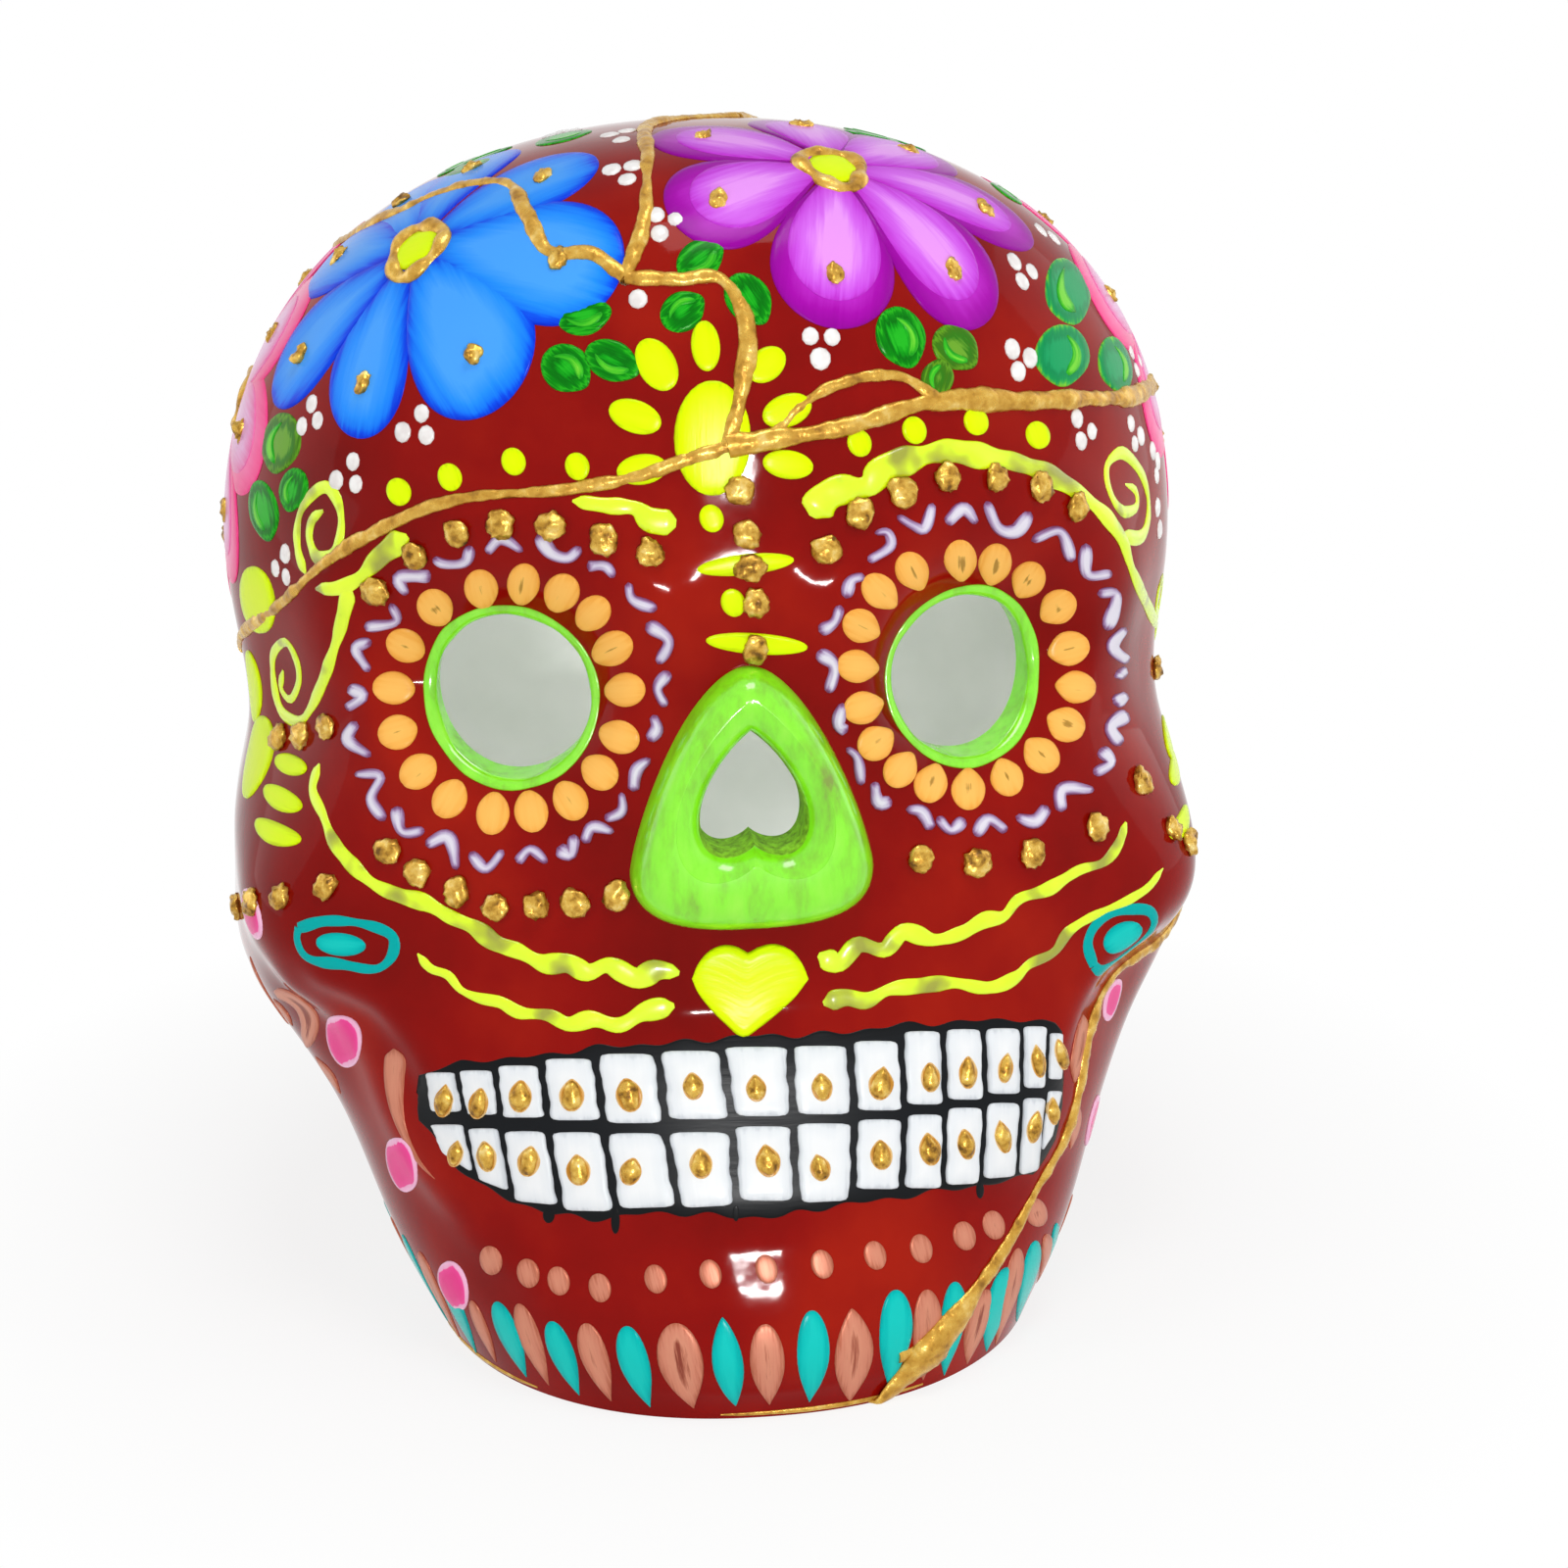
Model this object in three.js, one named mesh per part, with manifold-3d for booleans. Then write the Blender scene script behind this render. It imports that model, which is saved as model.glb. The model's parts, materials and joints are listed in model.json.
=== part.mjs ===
import * as THREE from 'three';
import { mergeVertices } from 'three/addons/utils/BufferGeometryUtils.js';
import Module from 'manifold-3d';

const wasm = await Module();
wasm.setup();
const { Manifold, Mesh: SolidMesh } = wasm;

// Hollow ceramic skull, millimetres. +Z is up, the face looks along -Y, the open foot stands on z = 0.
const HEIGHT = 180;
const WALL = 5;
const DOME_START = 112;
const DOME_SQUARENESS = 2.2;
const CROWN_APEX_Y = -16;

// Horizontal sections from the foot to the widest ring of the cranium.
// half: half width, axis: where it is widest, front and back: reach along Y, square: superellipse power.
const SECTIONS = [
  { z: 0, half: 47.5, axis: -25, front: -76, back: 38, square: 2.2 },
  { z: 14, half: 54.5, axis: -21, front: -77.5, back: 46, square: 2.2 },
  { z: 32, half: 62, axis: -11, front: -73, back: 60, square: 2.3 },
  { z: 52, half: 73, axis: -2, front: -66, back: 74, square: 2.4 },
  { z: 72, half: 75.5, axis: 0, front: -62, back: 84, square: 2.4 },
  { z: 90, half: 72.5, axis: 1, front: -60, back: 88, square: 2.3 },
  { z: DOME_START, half: 74.5, axis: 4, front: -58, back: 86, square: 2.1 },
];

// Point inside the skull from which breaks and moulded features are measured.
const HEART_Y = 8;
const HEART_Z = 95;

// The foot stays plain up to here.
const FOOT_PLAIN = 6;

// Eye sockets: a round dish with a round hole through its floor.
const EYE_X = 35.2;
const EYE_Z = 105;
const EYE_DISH_RADIUS = 20;
const EYE_DISH_DEPTH = 9;
const EYE_HOLE_RADIUS = 11.8;
const EYE_HOLE_DROP = 1.7;
const EYE_HOLE_TURN = 12;
const EYE_DISH_FLOOR = 0.3;
const EYE_DISH_INSIDE = 1.2;
const BROW_RIDGE = 2;
const BROW_RIDGE_AT = 1.25;
const BROW_RIDGE_SPREAD = 0.3;

// Nose: a raised boss shaped like a rounded triangle, with an upside-down heart cut through it.
const NOSE_TOP_Z = 109;
const NOSE_FOOT_Z = 71;
const NOSE_HALF_WIDTH = 17.5;
const NOSE_PROUD = 5;
const NOSE_BEVEL = 3;
const NOSE_LEAN = 6;
const NOSE_HOLE_TOP_Z = 100;
const NOSE_HOLE_FOOT_Z = 82.5;
const NOSE_HOLE_HALF_WIDTH = 7.5;

// Cheekbones, the hollows under them, the temples and the swelling behind the jaw.
const CHEEK = { x: 64, y: -36, z: 68, out: 5, wide: 17, tall: 11 };
const CHEEK_HOLLOW = { x: 60, y: -42, z: 49, out: -4, wide: 15, tall: 10 };
const TEMPLE = { x: 70, y: -26, z: 98, out: -2.5, wide: 15, tall: 12 };
const JAW_BACK = { x: 64, y: 12, z: 48, out: 5.5, wide: 24, tall: 14 };
const CHIN = { x: 0, y: -77, z: 12, out: 2, wide: 18, tall: 9 };
const GLABELLA = { x: 0, y: -58, z: 120, out: 1.5, wide: 16, tall: 10 };

// Folds: a soft ridge along a line. The cheek has one on both sides, the front edge of the jaw on the left.
const CHEEK_FOLD = { line: [[60, -45, 62], [54, -50, 59], [48, -55, 51]], out: 1.2, wide: 4.5, paired: true };
const JAW_EDGE = {
  line: [[-65, -38, 57], [-57, -47, 46], [-50, -53, 36.5], [-41, -61, 27], [-34, -67, 23]],
  out: 1.5,
  wide: 5.5,
  paired: false,
};

// Mouth: a raised band with two rows of teeth parted by shallow grooves.
const MOUTH_Z = 43;
const MOUTH_HALF_HEIGHT = 12;
const MOUTH_HALF_WIDTH = 47;
const MOUTH_PROUD = 1.6;
const MOUTH_EDGE = 5;
const TOOTH_STEP = 12;
const TOOTH_DIVISIONS = 6;
const TOOTH_GROOVE = 1.1;
const TOOTH_GROOVE_DEPTH = 0.9;

// Breaks and the gold resin in them.
const KERF = 1.6;
const RESIN_GAP = 0.35;
const BEAD_HALF_WIDTH = 1.5;
const BEAD_HEIGHT = 1.4;
const BEAD_LUMP = 0.2;
const BEAD_LUMP_PITCH = 9;
const CHIP_BEAD_HALF_WIDTH = 1.0;
const SPUR_BEAD_HALF_WIDTH = 1.3;
const JAW_LUMP = 1.6;
const JAW_LUMP_AT = 0.9;
const JAW_LUMP_SPREAD = 0.05;
const BEAD_LIFT = 0.5;
const RESIN_DEPTH = 3.5;
const BREAK_STEP = 9;
const JAW_BREAK_STEP = 4;
const BREAK_DEPTH = 8.5;

// Facets.
const OUTER_COLUMNS = 50;
const OUTER_LOW_ROWS = 21;
const OUTER_DOME_ROWS = 8;
const INNER_COLUMNS = 28;
const INNER_LOW_ROWS = 9;
const INNER_DOME_ROWS = 5;
const FRONT_DENSITY = 0.55;

const HEART = new THREE.Vector3(0, HEART_Y, HEART_Z);
const DEG = Math.PI / 180;

const GLAZE = { color: 0x8b0a06, roughness: 0.14, metalness: 0 };
const RESIN = { color: 0xc79a3a, roughness: 0.38, metalness: 0.7 };

// Smooth curve through the section values, level at its upper end.
function between(key, z) {
  const last = SECTIONS.length - 1;
  const at = THREE.MathUtils.clamp(z, SECTIONS[0].z, SECTIONS[last].z);
  let i = 0;
  while (i < last - 1 && at >= SECTIONS[i + 1].z) i += 1;
  const slope = (k) => {
    if (k === last) return 0;
    const a = SECTIONS[Math.max(k - 1, 0)];
    const b = SECTIONS[k + 1];
    return (b[key] - a[key]) / (b.z - a.z);
  };
  const span = SECTIONS[i + 1].z - SECTIONS[i].z;
  const t = (at - SECTIONS[i].z) / span;
  const t2 = t * t;
  const t3 = t2 * t;
  return (2 * t3 - 3 * t2 + 1) * SECTIONS[i][key] + (t3 - 2 * t2 + t) * span * slope(i)
    + (3 * t2 - 2 * t3) * SECTIONS[i + 1][key] + (t3 - t2) * span * slope(i + 1);
}

// Section of the plain form at a height; inset draws it in by the wall for the inside.
function section(z, inset = 0) {
  const rise = THREE.MathUtils.clamp((z - DOME_START) / (HEIGHT - inset - DOME_START), 0, 1);
  const power = rise ** DOME_SQUARENESS;
  const shrink = (1 - power) ** (1 / DOME_SQUARENESS);
  const axis = between('axis', z);
  return {
    half: (between('half', z) - inset) * shrink,
    axis: axis + (CROWN_APEX_Y - axis) * power,
    front: (axis - between('front', z) - inset) * shrink,
    back: (between('back', z) - axis - inset) * shrink,
    square: between('square', z),
  };
}

function isInside(p) {
  if (p.z >= HEIGHT) return false;
  const s = section(p.z);
  const reach = p.y < s.axis ? s.front : s.back;
  return (Math.abs(p.x) / s.half) ** s.square + (Math.abs(p.y - s.axis) / reach) ** s.square < 1;
}

// A soft swelling or hollow, the same on both sides.
function swelling(f, p) {
  const dx = (Math.abs(p.x) - f.x) / f.wide;
  const dy = (p.y - f.y) / f.wide;
  const dz = (p.z - f.z) / f.tall;
  return f.out * Math.exp(-dx * dx - dy * dy - dz * dz);
}

// A soft ridge along a line of points.
function fold(f, p) {
  const at = new THREE.Vector3(f.paired ? Math.abs(p.x) : p.x, p.y, p.z);
  const spots = f.line.map((spot) => new THREE.Vector3(...spot));
  let near = Infinity;
  for (let i = 1; i < spots.length; i += 1) {
    const foot = new THREE.Line3(spots[i - 1], spots[i]).closestPointToPoint(at, true, new THREE.Vector3());
    near = Math.min(near, foot.distanceTo(at));
  }
  return f.out * Math.exp(-((near / f.wide) ** 2));
}

function eyeDish(p, spread) {
  const dx = (Math.abs(p.x) - EYE_X) / EYE_DISH_RADIUS;
  const dz = (p.z - EYE_Z) / EYE_DISH_RADIUS;
  const r = Math.hypot(dx, dz);
  const floor = 1 - THREE.MathUtils.smoothstep(r, EYE_DISH_FLOOR, spread);
  const above = THREE.MathUtils.smoothstep(dz, -BROW_RIDGE_SPREAD, 1 - BROW_RIDGE_SPREAD);
  const ridge = Math.exp(-(((r - BROW_RIDGE_AT) / BROW_RIDGE_SPREAD) ** 2)) * above;
  return BROW_RIDGE * ridge - EYE_DISH_DEPTH * floor;
}

function mouthBand(p) {
  const smooth = THREE.MathUtils.smoothstep;
  const within = (distance, half) => 1 - smooth(distance, half - MOUTH_EDGE, half + MOUTH_EDGE);
  const tall = within(Math.abs(p.z - MOUTH_Z), MOUTH_HALF_HEIGHT);
  return MOUTH_PROUD * tall * within(Math.abs(p.x), MOUTH_HALF_WIDTH);
}

// How far the moulded features stand out of the plain form at a point of it.
function moulding(p, spread) {
  let out = 0;
  for (const f of [CHEEK, CHEEK_HOLLOW, TEMPLE, JAW_BACK, CHIN, GLABELLA]) out += swelling(f, p);
  for (const f of [CHEEK_FOLD, JAW_EDGE]) out += fold(f, p);
  if (p.y < 0) out += eyeDish(p, spread) + mouthBand(p);
  return out * THREE.MathUtils.smoothstep(p.z, 0, FOOT_PLAIN);
}

function unit(azimuth, elevation) {
  const a = azimuth * DEG;
  const e = elevation * DEG;
  return new THREE.Vector3(Math.sin(a) * Math.cos(e), -Math.cos(a) * Math.cos(e), Math.sin(e));
}

// Point of the glazed surface in a direction from the heart of the skull.
function onSurface(d) {
  let near = 0;
  let far = HEIGHT * 1.5;
  const p = new THREE.Vector3();
  for (let i = 0; i < 40; i += 1) {
    const mid = (near + far) / 2;
    p.copy(d).multiplyScalar(mid).add(HEART);
    if (isInside(p)) near = mid;
    else far = mid;
  }
  p.copy(d).multiplyScalar(near).add(HEART);
  return p.addScaledVector(d, moulding(p, 1));
}

function surfaceNormal(d) {
  const side = new THREE.Vector3(0, 0, 1).cross(d);
  if (side.lengthSq() < 1e-6) side.set(1, 0, 0);
  side.normalize();
  const up = d.clone().cross(side);
  const step = 0.06;
  const at = (v, k) => onSurface(d.clone().addScaledVector(v, k * step).normalize());
  const a = at(side, 1).sub(at(side, -1));
  const b = at(up, 1).sub(at(up, -1));
  const n = a.cross(b).normalize();
  return n.dot(d) < 0 ? n.negate() : n;
}

function solidOf(geometry) {
  geometry.deleteAttribute('normal');
  geometry.deleteAttribute('uv');
  const merged = mergeVertices(geometry, 1e-4);
  return new Manifold(new SolidMesh({
    numProp: 3,
    vertProperties: new Float32Array(merged.attributes.position.array),
    triVerts: new Uint32Array(merged.index.array),
  }));
}

function closedGeometry(points, faces) {
  const geometry = new THREE.BufferGeometry();
  const numbers = points.flatMap((p) => [p.x, p.y, p.z]);
  geometry.setAttribute('position', new THREE.Float32BufferAttribute(numbers, 3));
  geometry.setIndex(faces.flat());
  return geometry;
}

// Rings of equal length joined into a closed skin, with a foot cap and a single top point.
function loft(rings, foot, top) {
  const n = rings[0].length;
  const points = rings.flat().concat([foot, top]);
  const footAt = points.length - 2;
  const topAt = points.length - 1;
  const lastRing = (rings.length - 1) * n;
  const faces = [];
  for (let i = 0; i < n; i += 1) {
    const j = (i + 1) % n;
    faces.push([footAt, j, i]);
    faces.push([topAt, lastRing + i, lastRing + j]);
    for (let k = 0; k < rings.length - 1; k += 1) {
      const low = k * n;
      const high = low + n;
      faces.push([low + i, low + j, high + j]);
      faces.push([low + i, high + j, high + i]);
    }
  }
  return solidOf(closedGeometry(points, faces));
}

// The skull as a solid. inset draws it in by the wall, spread widens the eye dishes on the inside.
function skullSolid({ columns, lowRows, domeRows, inset, footZ, spread }) {
  const heights = [];
  if (footZ < 0) heights.push(footZ);
  for (let k = 0; k < lowRows; k += 1) heights.push((DOME_START * k) / lowRows);
  for (let k = 0; k < domeRows; k += 1) {
    const rise = Math.sin((k / domeRows) * (Math.PI / 2)) ** (2 / DOME_SQUARENESS);
    heights.push(DOME_START + (HEIGHT - inset - DOME_START) * rise);
  }
  const rings = heights.map((z) => {
    const plain = section(z);
    const drawn = section(z, inset);
    const ring = [];
    for (let i = 0; i < columns; i += 1) {
      const turn = (i / columns) * 2 * Math.PI;
      const angle = turn - FRONT_DENSITY * Math.sin(turn);
      const s = Math.sign(Math.sin(angle)) * Math.abs(Math.sin(angle)) ** (2 / plain.square);
      const c = Math.sign(Math.cos(angle)) * Math.abs(Math.cos(angle)) ** (2 / plain.square);
      const along = (q) => q.axis - (c > 0 ? q.front : q.back) * c;
      const spot = new THREE.Vector3(plain.half * s, along(plain), z);
      const p = new THREE.Vector3(drawn.half * s, along(drawn), z);
      const away = p.clone().sub(HEART).normalize();
      if (z < FOOT_PLAIN) away.setZ(0).normalize();
      ring.push(p.addScaledVector(away, moulding(spot, spread)));
    }
    return ring;
  });
  const footY = (SECTIONS[0].front + SECTIONS[0].back) / 2;
  return loft(rings, new THREE.Vector3(0, footY, heights[0]),
    new THREE.Vector3(0, CROWN_APEX_Y, HEIGHT - inset));
}

// Nose boss and nose hole: outlines drawn from the front and pushed through along Y.
function fromFront(shape, frontY, depth, bevel, lean, pivotZ) {
  const geometry = new THREE.ExtrudeGeometry(shape, {
    depth,
    curveSegments: 6,
    bevelEnabled: bevel > 0,
    bevelThickness: bevel,
    bevelSize: bevel,
    bevelOffset: -bevel,
    bevelSegments: 2,
  });
  geometry.translate(0, -pivotZ, -depth - bevel);
  geometry.rotateX(Math.PI / 2 - lean * DEG);
  geometry.translate(0, frontY, pivotZ);
  return solidOf(geometry);
}

// An outline given for the right half from top to foot as [x, z] Bezier corners, mirrored to the left.
function mirrored(corners) {
  const shape = new THREE.Shape();
  const curve = ([a, b, c]) => shape.bezierCurveTo(...a, ...b, ...c);
  const left = corners.map(([x, z]) => [-x, z]).reverse();
  shape.moveTo(...corners[0]);
  for (let i = 1; i < corners.length; i += 3) curve(corners.slice(i, i + 3));
  for (let i = 1; i < left.length; i += 3) curve(left.slice(i, i + 3));
  return shape;
}

function noseShape() {
  const w = NOSE_HALF_WIDTH;
  const up = (t) => NOSE_FOOT_Z + (NOSE_TOP_Z - NOSE_FOOT_Z) * t;
  return mirrored([[0, up(1)], [w * 0.42, up(1)], [w * 0.9, up(0.5)], [w, up(0.24)], [w * 1.04, up(0.02)],
    [w * 0.5, up(0)], [0, up(0)]]);
}

function noseHoleShape() {
  const w = NOSE_HOLE_HALF_WIDTH;
  const up = (t) => NOSE_HOLE_FOOT_Z + (NOSE_HOLE_TOP_Z - NOSE_HOLE_FOOT_Z) * t;
  return mirrored([[0, up(1)], [w * 0.5, up(0.85)], [w * 1.05, up(0.5)], [w, up(0.25)], [w * 0.95, up(-0.05)],
    [w * 0.3, up(-0.03)], [0, up(0.1)]]);
}

function eyeHole(side) {
  const geometry = new THREE.CylinderGeometry(EYE_HOLE_RADIUS, EYE_HOLE_RADIUS, WALL * 8, 24);
  geometry.rotateZ(side * EYE_HOLE_TURN * DEG);
  geometry.translate(side * EYE_X, section(EYE_Z).axis - section(EYE_Z).front, EYE_Z - EYE_HOLE_DROP);
  return solidOf(geometry);
}

// Break lines as directions from the heart: azimuth 0 is the face, positive to the right of a viewer.
const JUNCTION = [-15, 49];
const BROW_MIDDLE = [-2, 35];
const CREST = [45, 84];
const REAR_MIDDLE = [-178, 8];
const BREAKS = [
  { name: 'left_brow_seam', path: [BROW_MIDDLE, [-14, 32], [-24, 30], [-35, 28], [-48, 22], [-61, 14],
    [-85, 3]] },
  { name: 'right_brow_seam', path: [BROW_MIDDLE, [13, 36], [24, 37], [40, 35], [60, 32], [74, 31],
    [88, 29]] },
  { name: 'left_rear_seam', path: [[-85, 3], [-110, -2], [-135, 0], [-160, 6], REAR_MIDDLE] },
  { name: 'right_rear_seam', path: [[88, 29], [112, 27], [135, 20], [158, 12], REAR_MIDDLE] },
  { name: 'rear_crown_seam', path: [CREST, [165, 77], [-178, 62], [-172, 48], [-176, 30], REAR_MIDDLE] },
  { name: 'crown_seam', path: [JUNCTION, [-13, 54], [-14, 62], [-20, 75], CREST] },
  { name: 'forehead_seam', path: [JUNCTION, [-8, 49], [-2, 49], [1, 45], [0, 40], BROW_MIDDLE] },
  { name: 'left_crown_seam', path: [JUNCTION, [-20, 51], [-26, 51], [-32, 55], [-40, 59], [-55, 58],
    [-64, 55], [-90, 50], [-130, 49], [-172, 48]] },
  { name: 'crest_seam', path: [CREST, [128, 76], [124, 56], [119, 40], [122, 24.5]] },
  { name: 'brow_chip_seam', path: [[3, 35.4], [8, 38.5], [15, 40], [21, 39.5], [25.5, 37]],
    width: CHIP_BEAD_HALF_WIDTH },
  { name: 'jaw_seam', path: [[106, 27.5], [109, 8], [99, -10], [80, -22], [62, -27.5], [50, -29], [43, -32],
    [38, -38], [29, -42], [20, -45], [11, -49], [5, -52]], lump: JAW_LUMP, step: JAW_BREAK_STEP },
  { name: 'right_nape_seam', path: [[150, 14.8], [146, -5], [150, -30], [146, -50], [146, -76]] },
  { name: 'left_nape_seam', path: [[-135, 0], [-138, -20], [-132, -40], [-136, -60], [-136, -77]] },
  { name: 'jaw_spur_seam', path: [[19, -45.6], [16, -46], [13, -46]], width: SPUR_BEAD_HALF_WIDTH },
];

// Stations on the glaze in the given directions: place, outward normal, and the way ahead and across.
function framed(directions) {
  const list = directions.map((d) => ({ place: onSurface(d), plain: surfaceNormal(d) }));
  const last = list.length - 1;
  list.forEach((s, i) => {
    const before = list[Math.max(i - 1, 0)];
    const after = list[Math.min(i + 1, last)];
    const normal = s.plain.clone().multiplyScalar(2).add(before.plain).add(after.plain);
    s.ahead = after.place.clone().sub(before.place).normalize();
    s.normal = normal.addScaledVector(s.ahead, -normal.dot(s.ahead)).normalize();
    s.across = s.normal.clone().cross(s.ahead).normalize();
    s.at = i / last;
    s.run = i === 0 ? 0 : list[i - 1].run + s.place.distanceTo(list[i - 1].place);
  });
  return list;
}

// Stations along a break at an even step.
function stations({ path, step = BREAK_STEP }) {
  const curve = new THREE.CatmullRomCurve3(path.map(([a, e]) => unit(a, e)), false, 'centripetal');
  const at = (count) => curve.getSpacedPoints(count).map((d) => d.normalize());
  const rough = framed(at(path.length * 4));
  return framed(at(Math.max(3, Math.ceil(rough[rough.length - 1].run / step))));
}

// Sweeps a section along the stations; outline(s) gives [across, out] pairs, anticlockwise from ahead.
function sweep(list, outline, overrun) {
  const rings = list.map((s, i) => {
    let push = 0;
    if (i === 0) push = -overrun;
    if (i === list.length - 1) push = overrun;
    return outline(s).map(([a, o]) => s.place.clone().addScaledVector(s.across, a)
      .addScaledVector(s.normal, o).addScaledVector(s.ahead, push));
  });
  const n = rings[0].length;
  const flat = outline(list[0]).map(([a, o]) => new THREE.Vector2(a, o));
  const cap = THREE.ShapeUtils.triangulateShape(flat, []);
  const faces = [];
  const last = (rings.length - 1) * n;
  for (const [a, b, c] of cap) {
    faces.push([a, c, b]);
    faces.push([last + a, last + b, last + c]);
  }
  for (let k = 0; k < rings.length - 1; k += 1) {
    for (let i = 0; i < n; i += 1) {
      const j = (i + 1) % n;
      const low = k * n;
      const high = low + n;
      faces.push([low + i, low + j, high + j]);
      faces.push([low + i, high + j, high + i]);
    }
  }
  return solidOf(closedGeometry(rings.flat(), faces));
}

function slabOutline(half, out, depth) {
  return () => [[-half, -depth], [half, -depth], [half, out], [-half, out]];
}

// Slots that part the teeth: upright ones fan out around the mouth, one runs level between the rows.
function toothSlots() {
  const spot = (x, z) => new THREE.Vector3(x, SECTIONS[2].front, z).sub(HEART).normalize();
  const outline = slabOutline(TOOTH_GROOVE / 2, WALL, TOOTH_GROOVE_DEPTH);
  const reach = MOUTH_HALF_HEIGHT - TOOTH_GROOVE;
  const tools = [];
  for (let k = 0; k < TOOTH_DIVISIONS * 2; k += 1) {
    const x = MOUTH_HALF_WIDTH * Math.sin((k - TOOTH_DIVISIONS + 0.5) * TOOTH_STEP * DEG);
    const upright = [1, 0, -1].map((t) => spot(x, MOUTH_Z + reach * t));
    tools.push(sweep(framed(upright), outline, 0));
  }
  const level = [-1, -0.7, -0.35, 0, 0.35, 0.7, 1];
  const end = MOUTH_HALF_WIDTH - TOOTH_GROOVE;
  tools.push(sweep(framed(level.map((t) => spot(end * t, MOUTH_Z))), outline, 0));
  return Manifold.union(tools);
}

// Resin: a thin web in the break under a lumpy half-round bead on the glaze. grow swells it all round.
function resinOutline(spec, grow) {
  return (s) => {
    const half = spec.width ?? BEAD_HALF_WIDTH;
    const turn = (s.run / BEAD_LUMP_PITCH) * 2 * Math.PI;
    const wave = (Math.sin(turn) + Math.sin(turn * 0.6)) / 2;
    const bulge = (spec.lump ?? 0) * Math.exp(-(((s.at - JAW_LUMP_AT) / JAW_LUMP_SPREAD) ** 2));
    const w = half * (1 + BEAD_LUMP * wave) + bulge + grow;
    const h = BEAD_HEIGHT * Math.sqrt(half / BEAD_HALF_WIDTH) + BEAD_LIFT + grow;
    const web = KERF / 2 - RESIN_GAP + grow;
    const under = BEAD_LIFT - grow;
    const depth = RESIN_DEPTH + grow;
    return [[-web, -depth], [web, -depth], [web, under], [w, under], [w * 0.55, h], [-w * 0.55, h],
      [-w, under], [-web, under]];
  };
}

// The whole shell before it broke.
const outer = skullSolid({ columns: OUTER_COLUMNS, lowRows: OUTER_LOW_ROWS, domeRows: OUTER_DOME_ROWS,
  inset: 0, footZ: 0, spread: 1 });
const inner = skullSolid({ columns: INNER_COLUMNS, lowRows: INNER_LOW_ROWS, domeRows: INNER_DOME_ROWS,
  inset: WALL, footZ: -WALL, spread: EYE_DISH_INSIDE });
const noseMiddleZ = (NOSE_TOP_Z + NOSE_FOOT_Z) / 2;
const noseFrontY = section(noseMiddleZ).axis - section(noseMiddleZ).front - NOSE_PROUD;
const boss = fromFront(noseShape(), noseFrontY, NOSE_PROUD + WALL, NOSE_BEVEL, NOSE_LEAN, noseMiddleZ);
const noseHole = fromFront(noseHoleShape(), noseFrontY - WALL, WALL * 8, 0, NOSE_LEAN, noseMiddleZ);
const whole = outer.subtract(toothSlots()).add(boss).subtract(inner)
  .subtract(Manifold.union([eyeHole(-1), eyeHole(1), noseHole]));

// Break the shell along every line, then name each shard by a spot in its middle.
const lines = BREAKS.map((spec) => ({ ...spec, list: stations(spec) }));
const cuts = lines.map((l) => sweep(l.list, slabOutline(KERF / 2, WALL, BREAK_DEPTH), KERF));
const shards = whole.subtract(Manifold.union(cuts)).decompose();
const SPOTS = {
  face_shard: [0, -23],
  right_jaw_shard: [75, -30],
  nape_shard: [-173, -30],
  left_forehead_shard: [-45, 38],
  left_crown_shard: [-60, 72],
  right_forehead_shard: [40, 52],
  rear_crown_shard: [150, 50],
  brow_chip_shard: [14, 38],
};

const group = new THREE.Group();

function addPiece(name, solid, look) {
  const { vertProperties, triVerts } = solid.getMesh();
  const geometry = new THREE.BufferGeometry();
  geometry.setAttribute('position', new THREE.BufferAttribute(new Float32Array(vertProperties), 3));
  geometry.setIndex(new THREE.BufferAttribute(new Uint32Array(triVerts), 1));
  geometry.computeVertexNormals();
  const mesh = new THREE.Mesh(geometry, new THREE.MeshStandardMaterial(look));
  mesh.name = name;
  group.add(mesh);
}

function distanceTo(solid, spot) {
  const { vertProperties } = solid.getMesh();
  const corner = new THREE.Vector3();
  let best = Infinity;
  for (let i = 0; i < vertProperties.length; i += 3) {
    best = Math.min(best, corner.fromArray(vertProperties, i).distanceTo(spot));
  }
  return best;
}

function nearest(solids, spot) {
  return solids.reduce((a, b) => (distanceTo(b, spot) < distanceTo(a, spot) ? b : a));
}

for (const [name, [a, e]] of Object.entries(SPOTS)) {
  addPiece(name, nearest(shards, onSurface(unit(a, e))), GLAZE);
}

// Runs of resin in the order they were laid; each stops a hair short of the ones before it.
const aboveFoot = new THREE.BoxGeometry(HEIGHT * 2, HEIGHT * 2, HEIGHT * 2);
aboveFoot.translate(0, 0, HEIGHT + RESIN_GAP);
const standing = solidOf(aboveFoot);
let laid = null;
for (const l of lines) {
  let run = sweep(l.list, resinOutline(l, 0), 0).intersect(standing);
  if (laid) run = run.subtract(laid);
  const parts = run.decompose();
  addPiece(l.name, parts.reduce((a, b) => (b.volume() > a.volume() ? b : a)), RESIN);
  const clear = sweep(l.list, resinOutline(l, RESIN_GAP), RESIN_GAP);
  laid = laid ? laid.add(clear) : clear;
}

// The origin is the middle of the foot: half way along the overall width and depth.
const box = new THREE.Box3().setFromObject(group);
const middle = box.getCenter(new THREE.Vector3());
for (const mesh of group.children) mesh.geometry.translate(-middle.x, -middle.y, -box.min.z);

export default group;
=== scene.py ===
import json

import bpy
import numpy as np
from mathutils import Matrix, Vector
from mathutils.bvhtree import BVHTree

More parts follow.
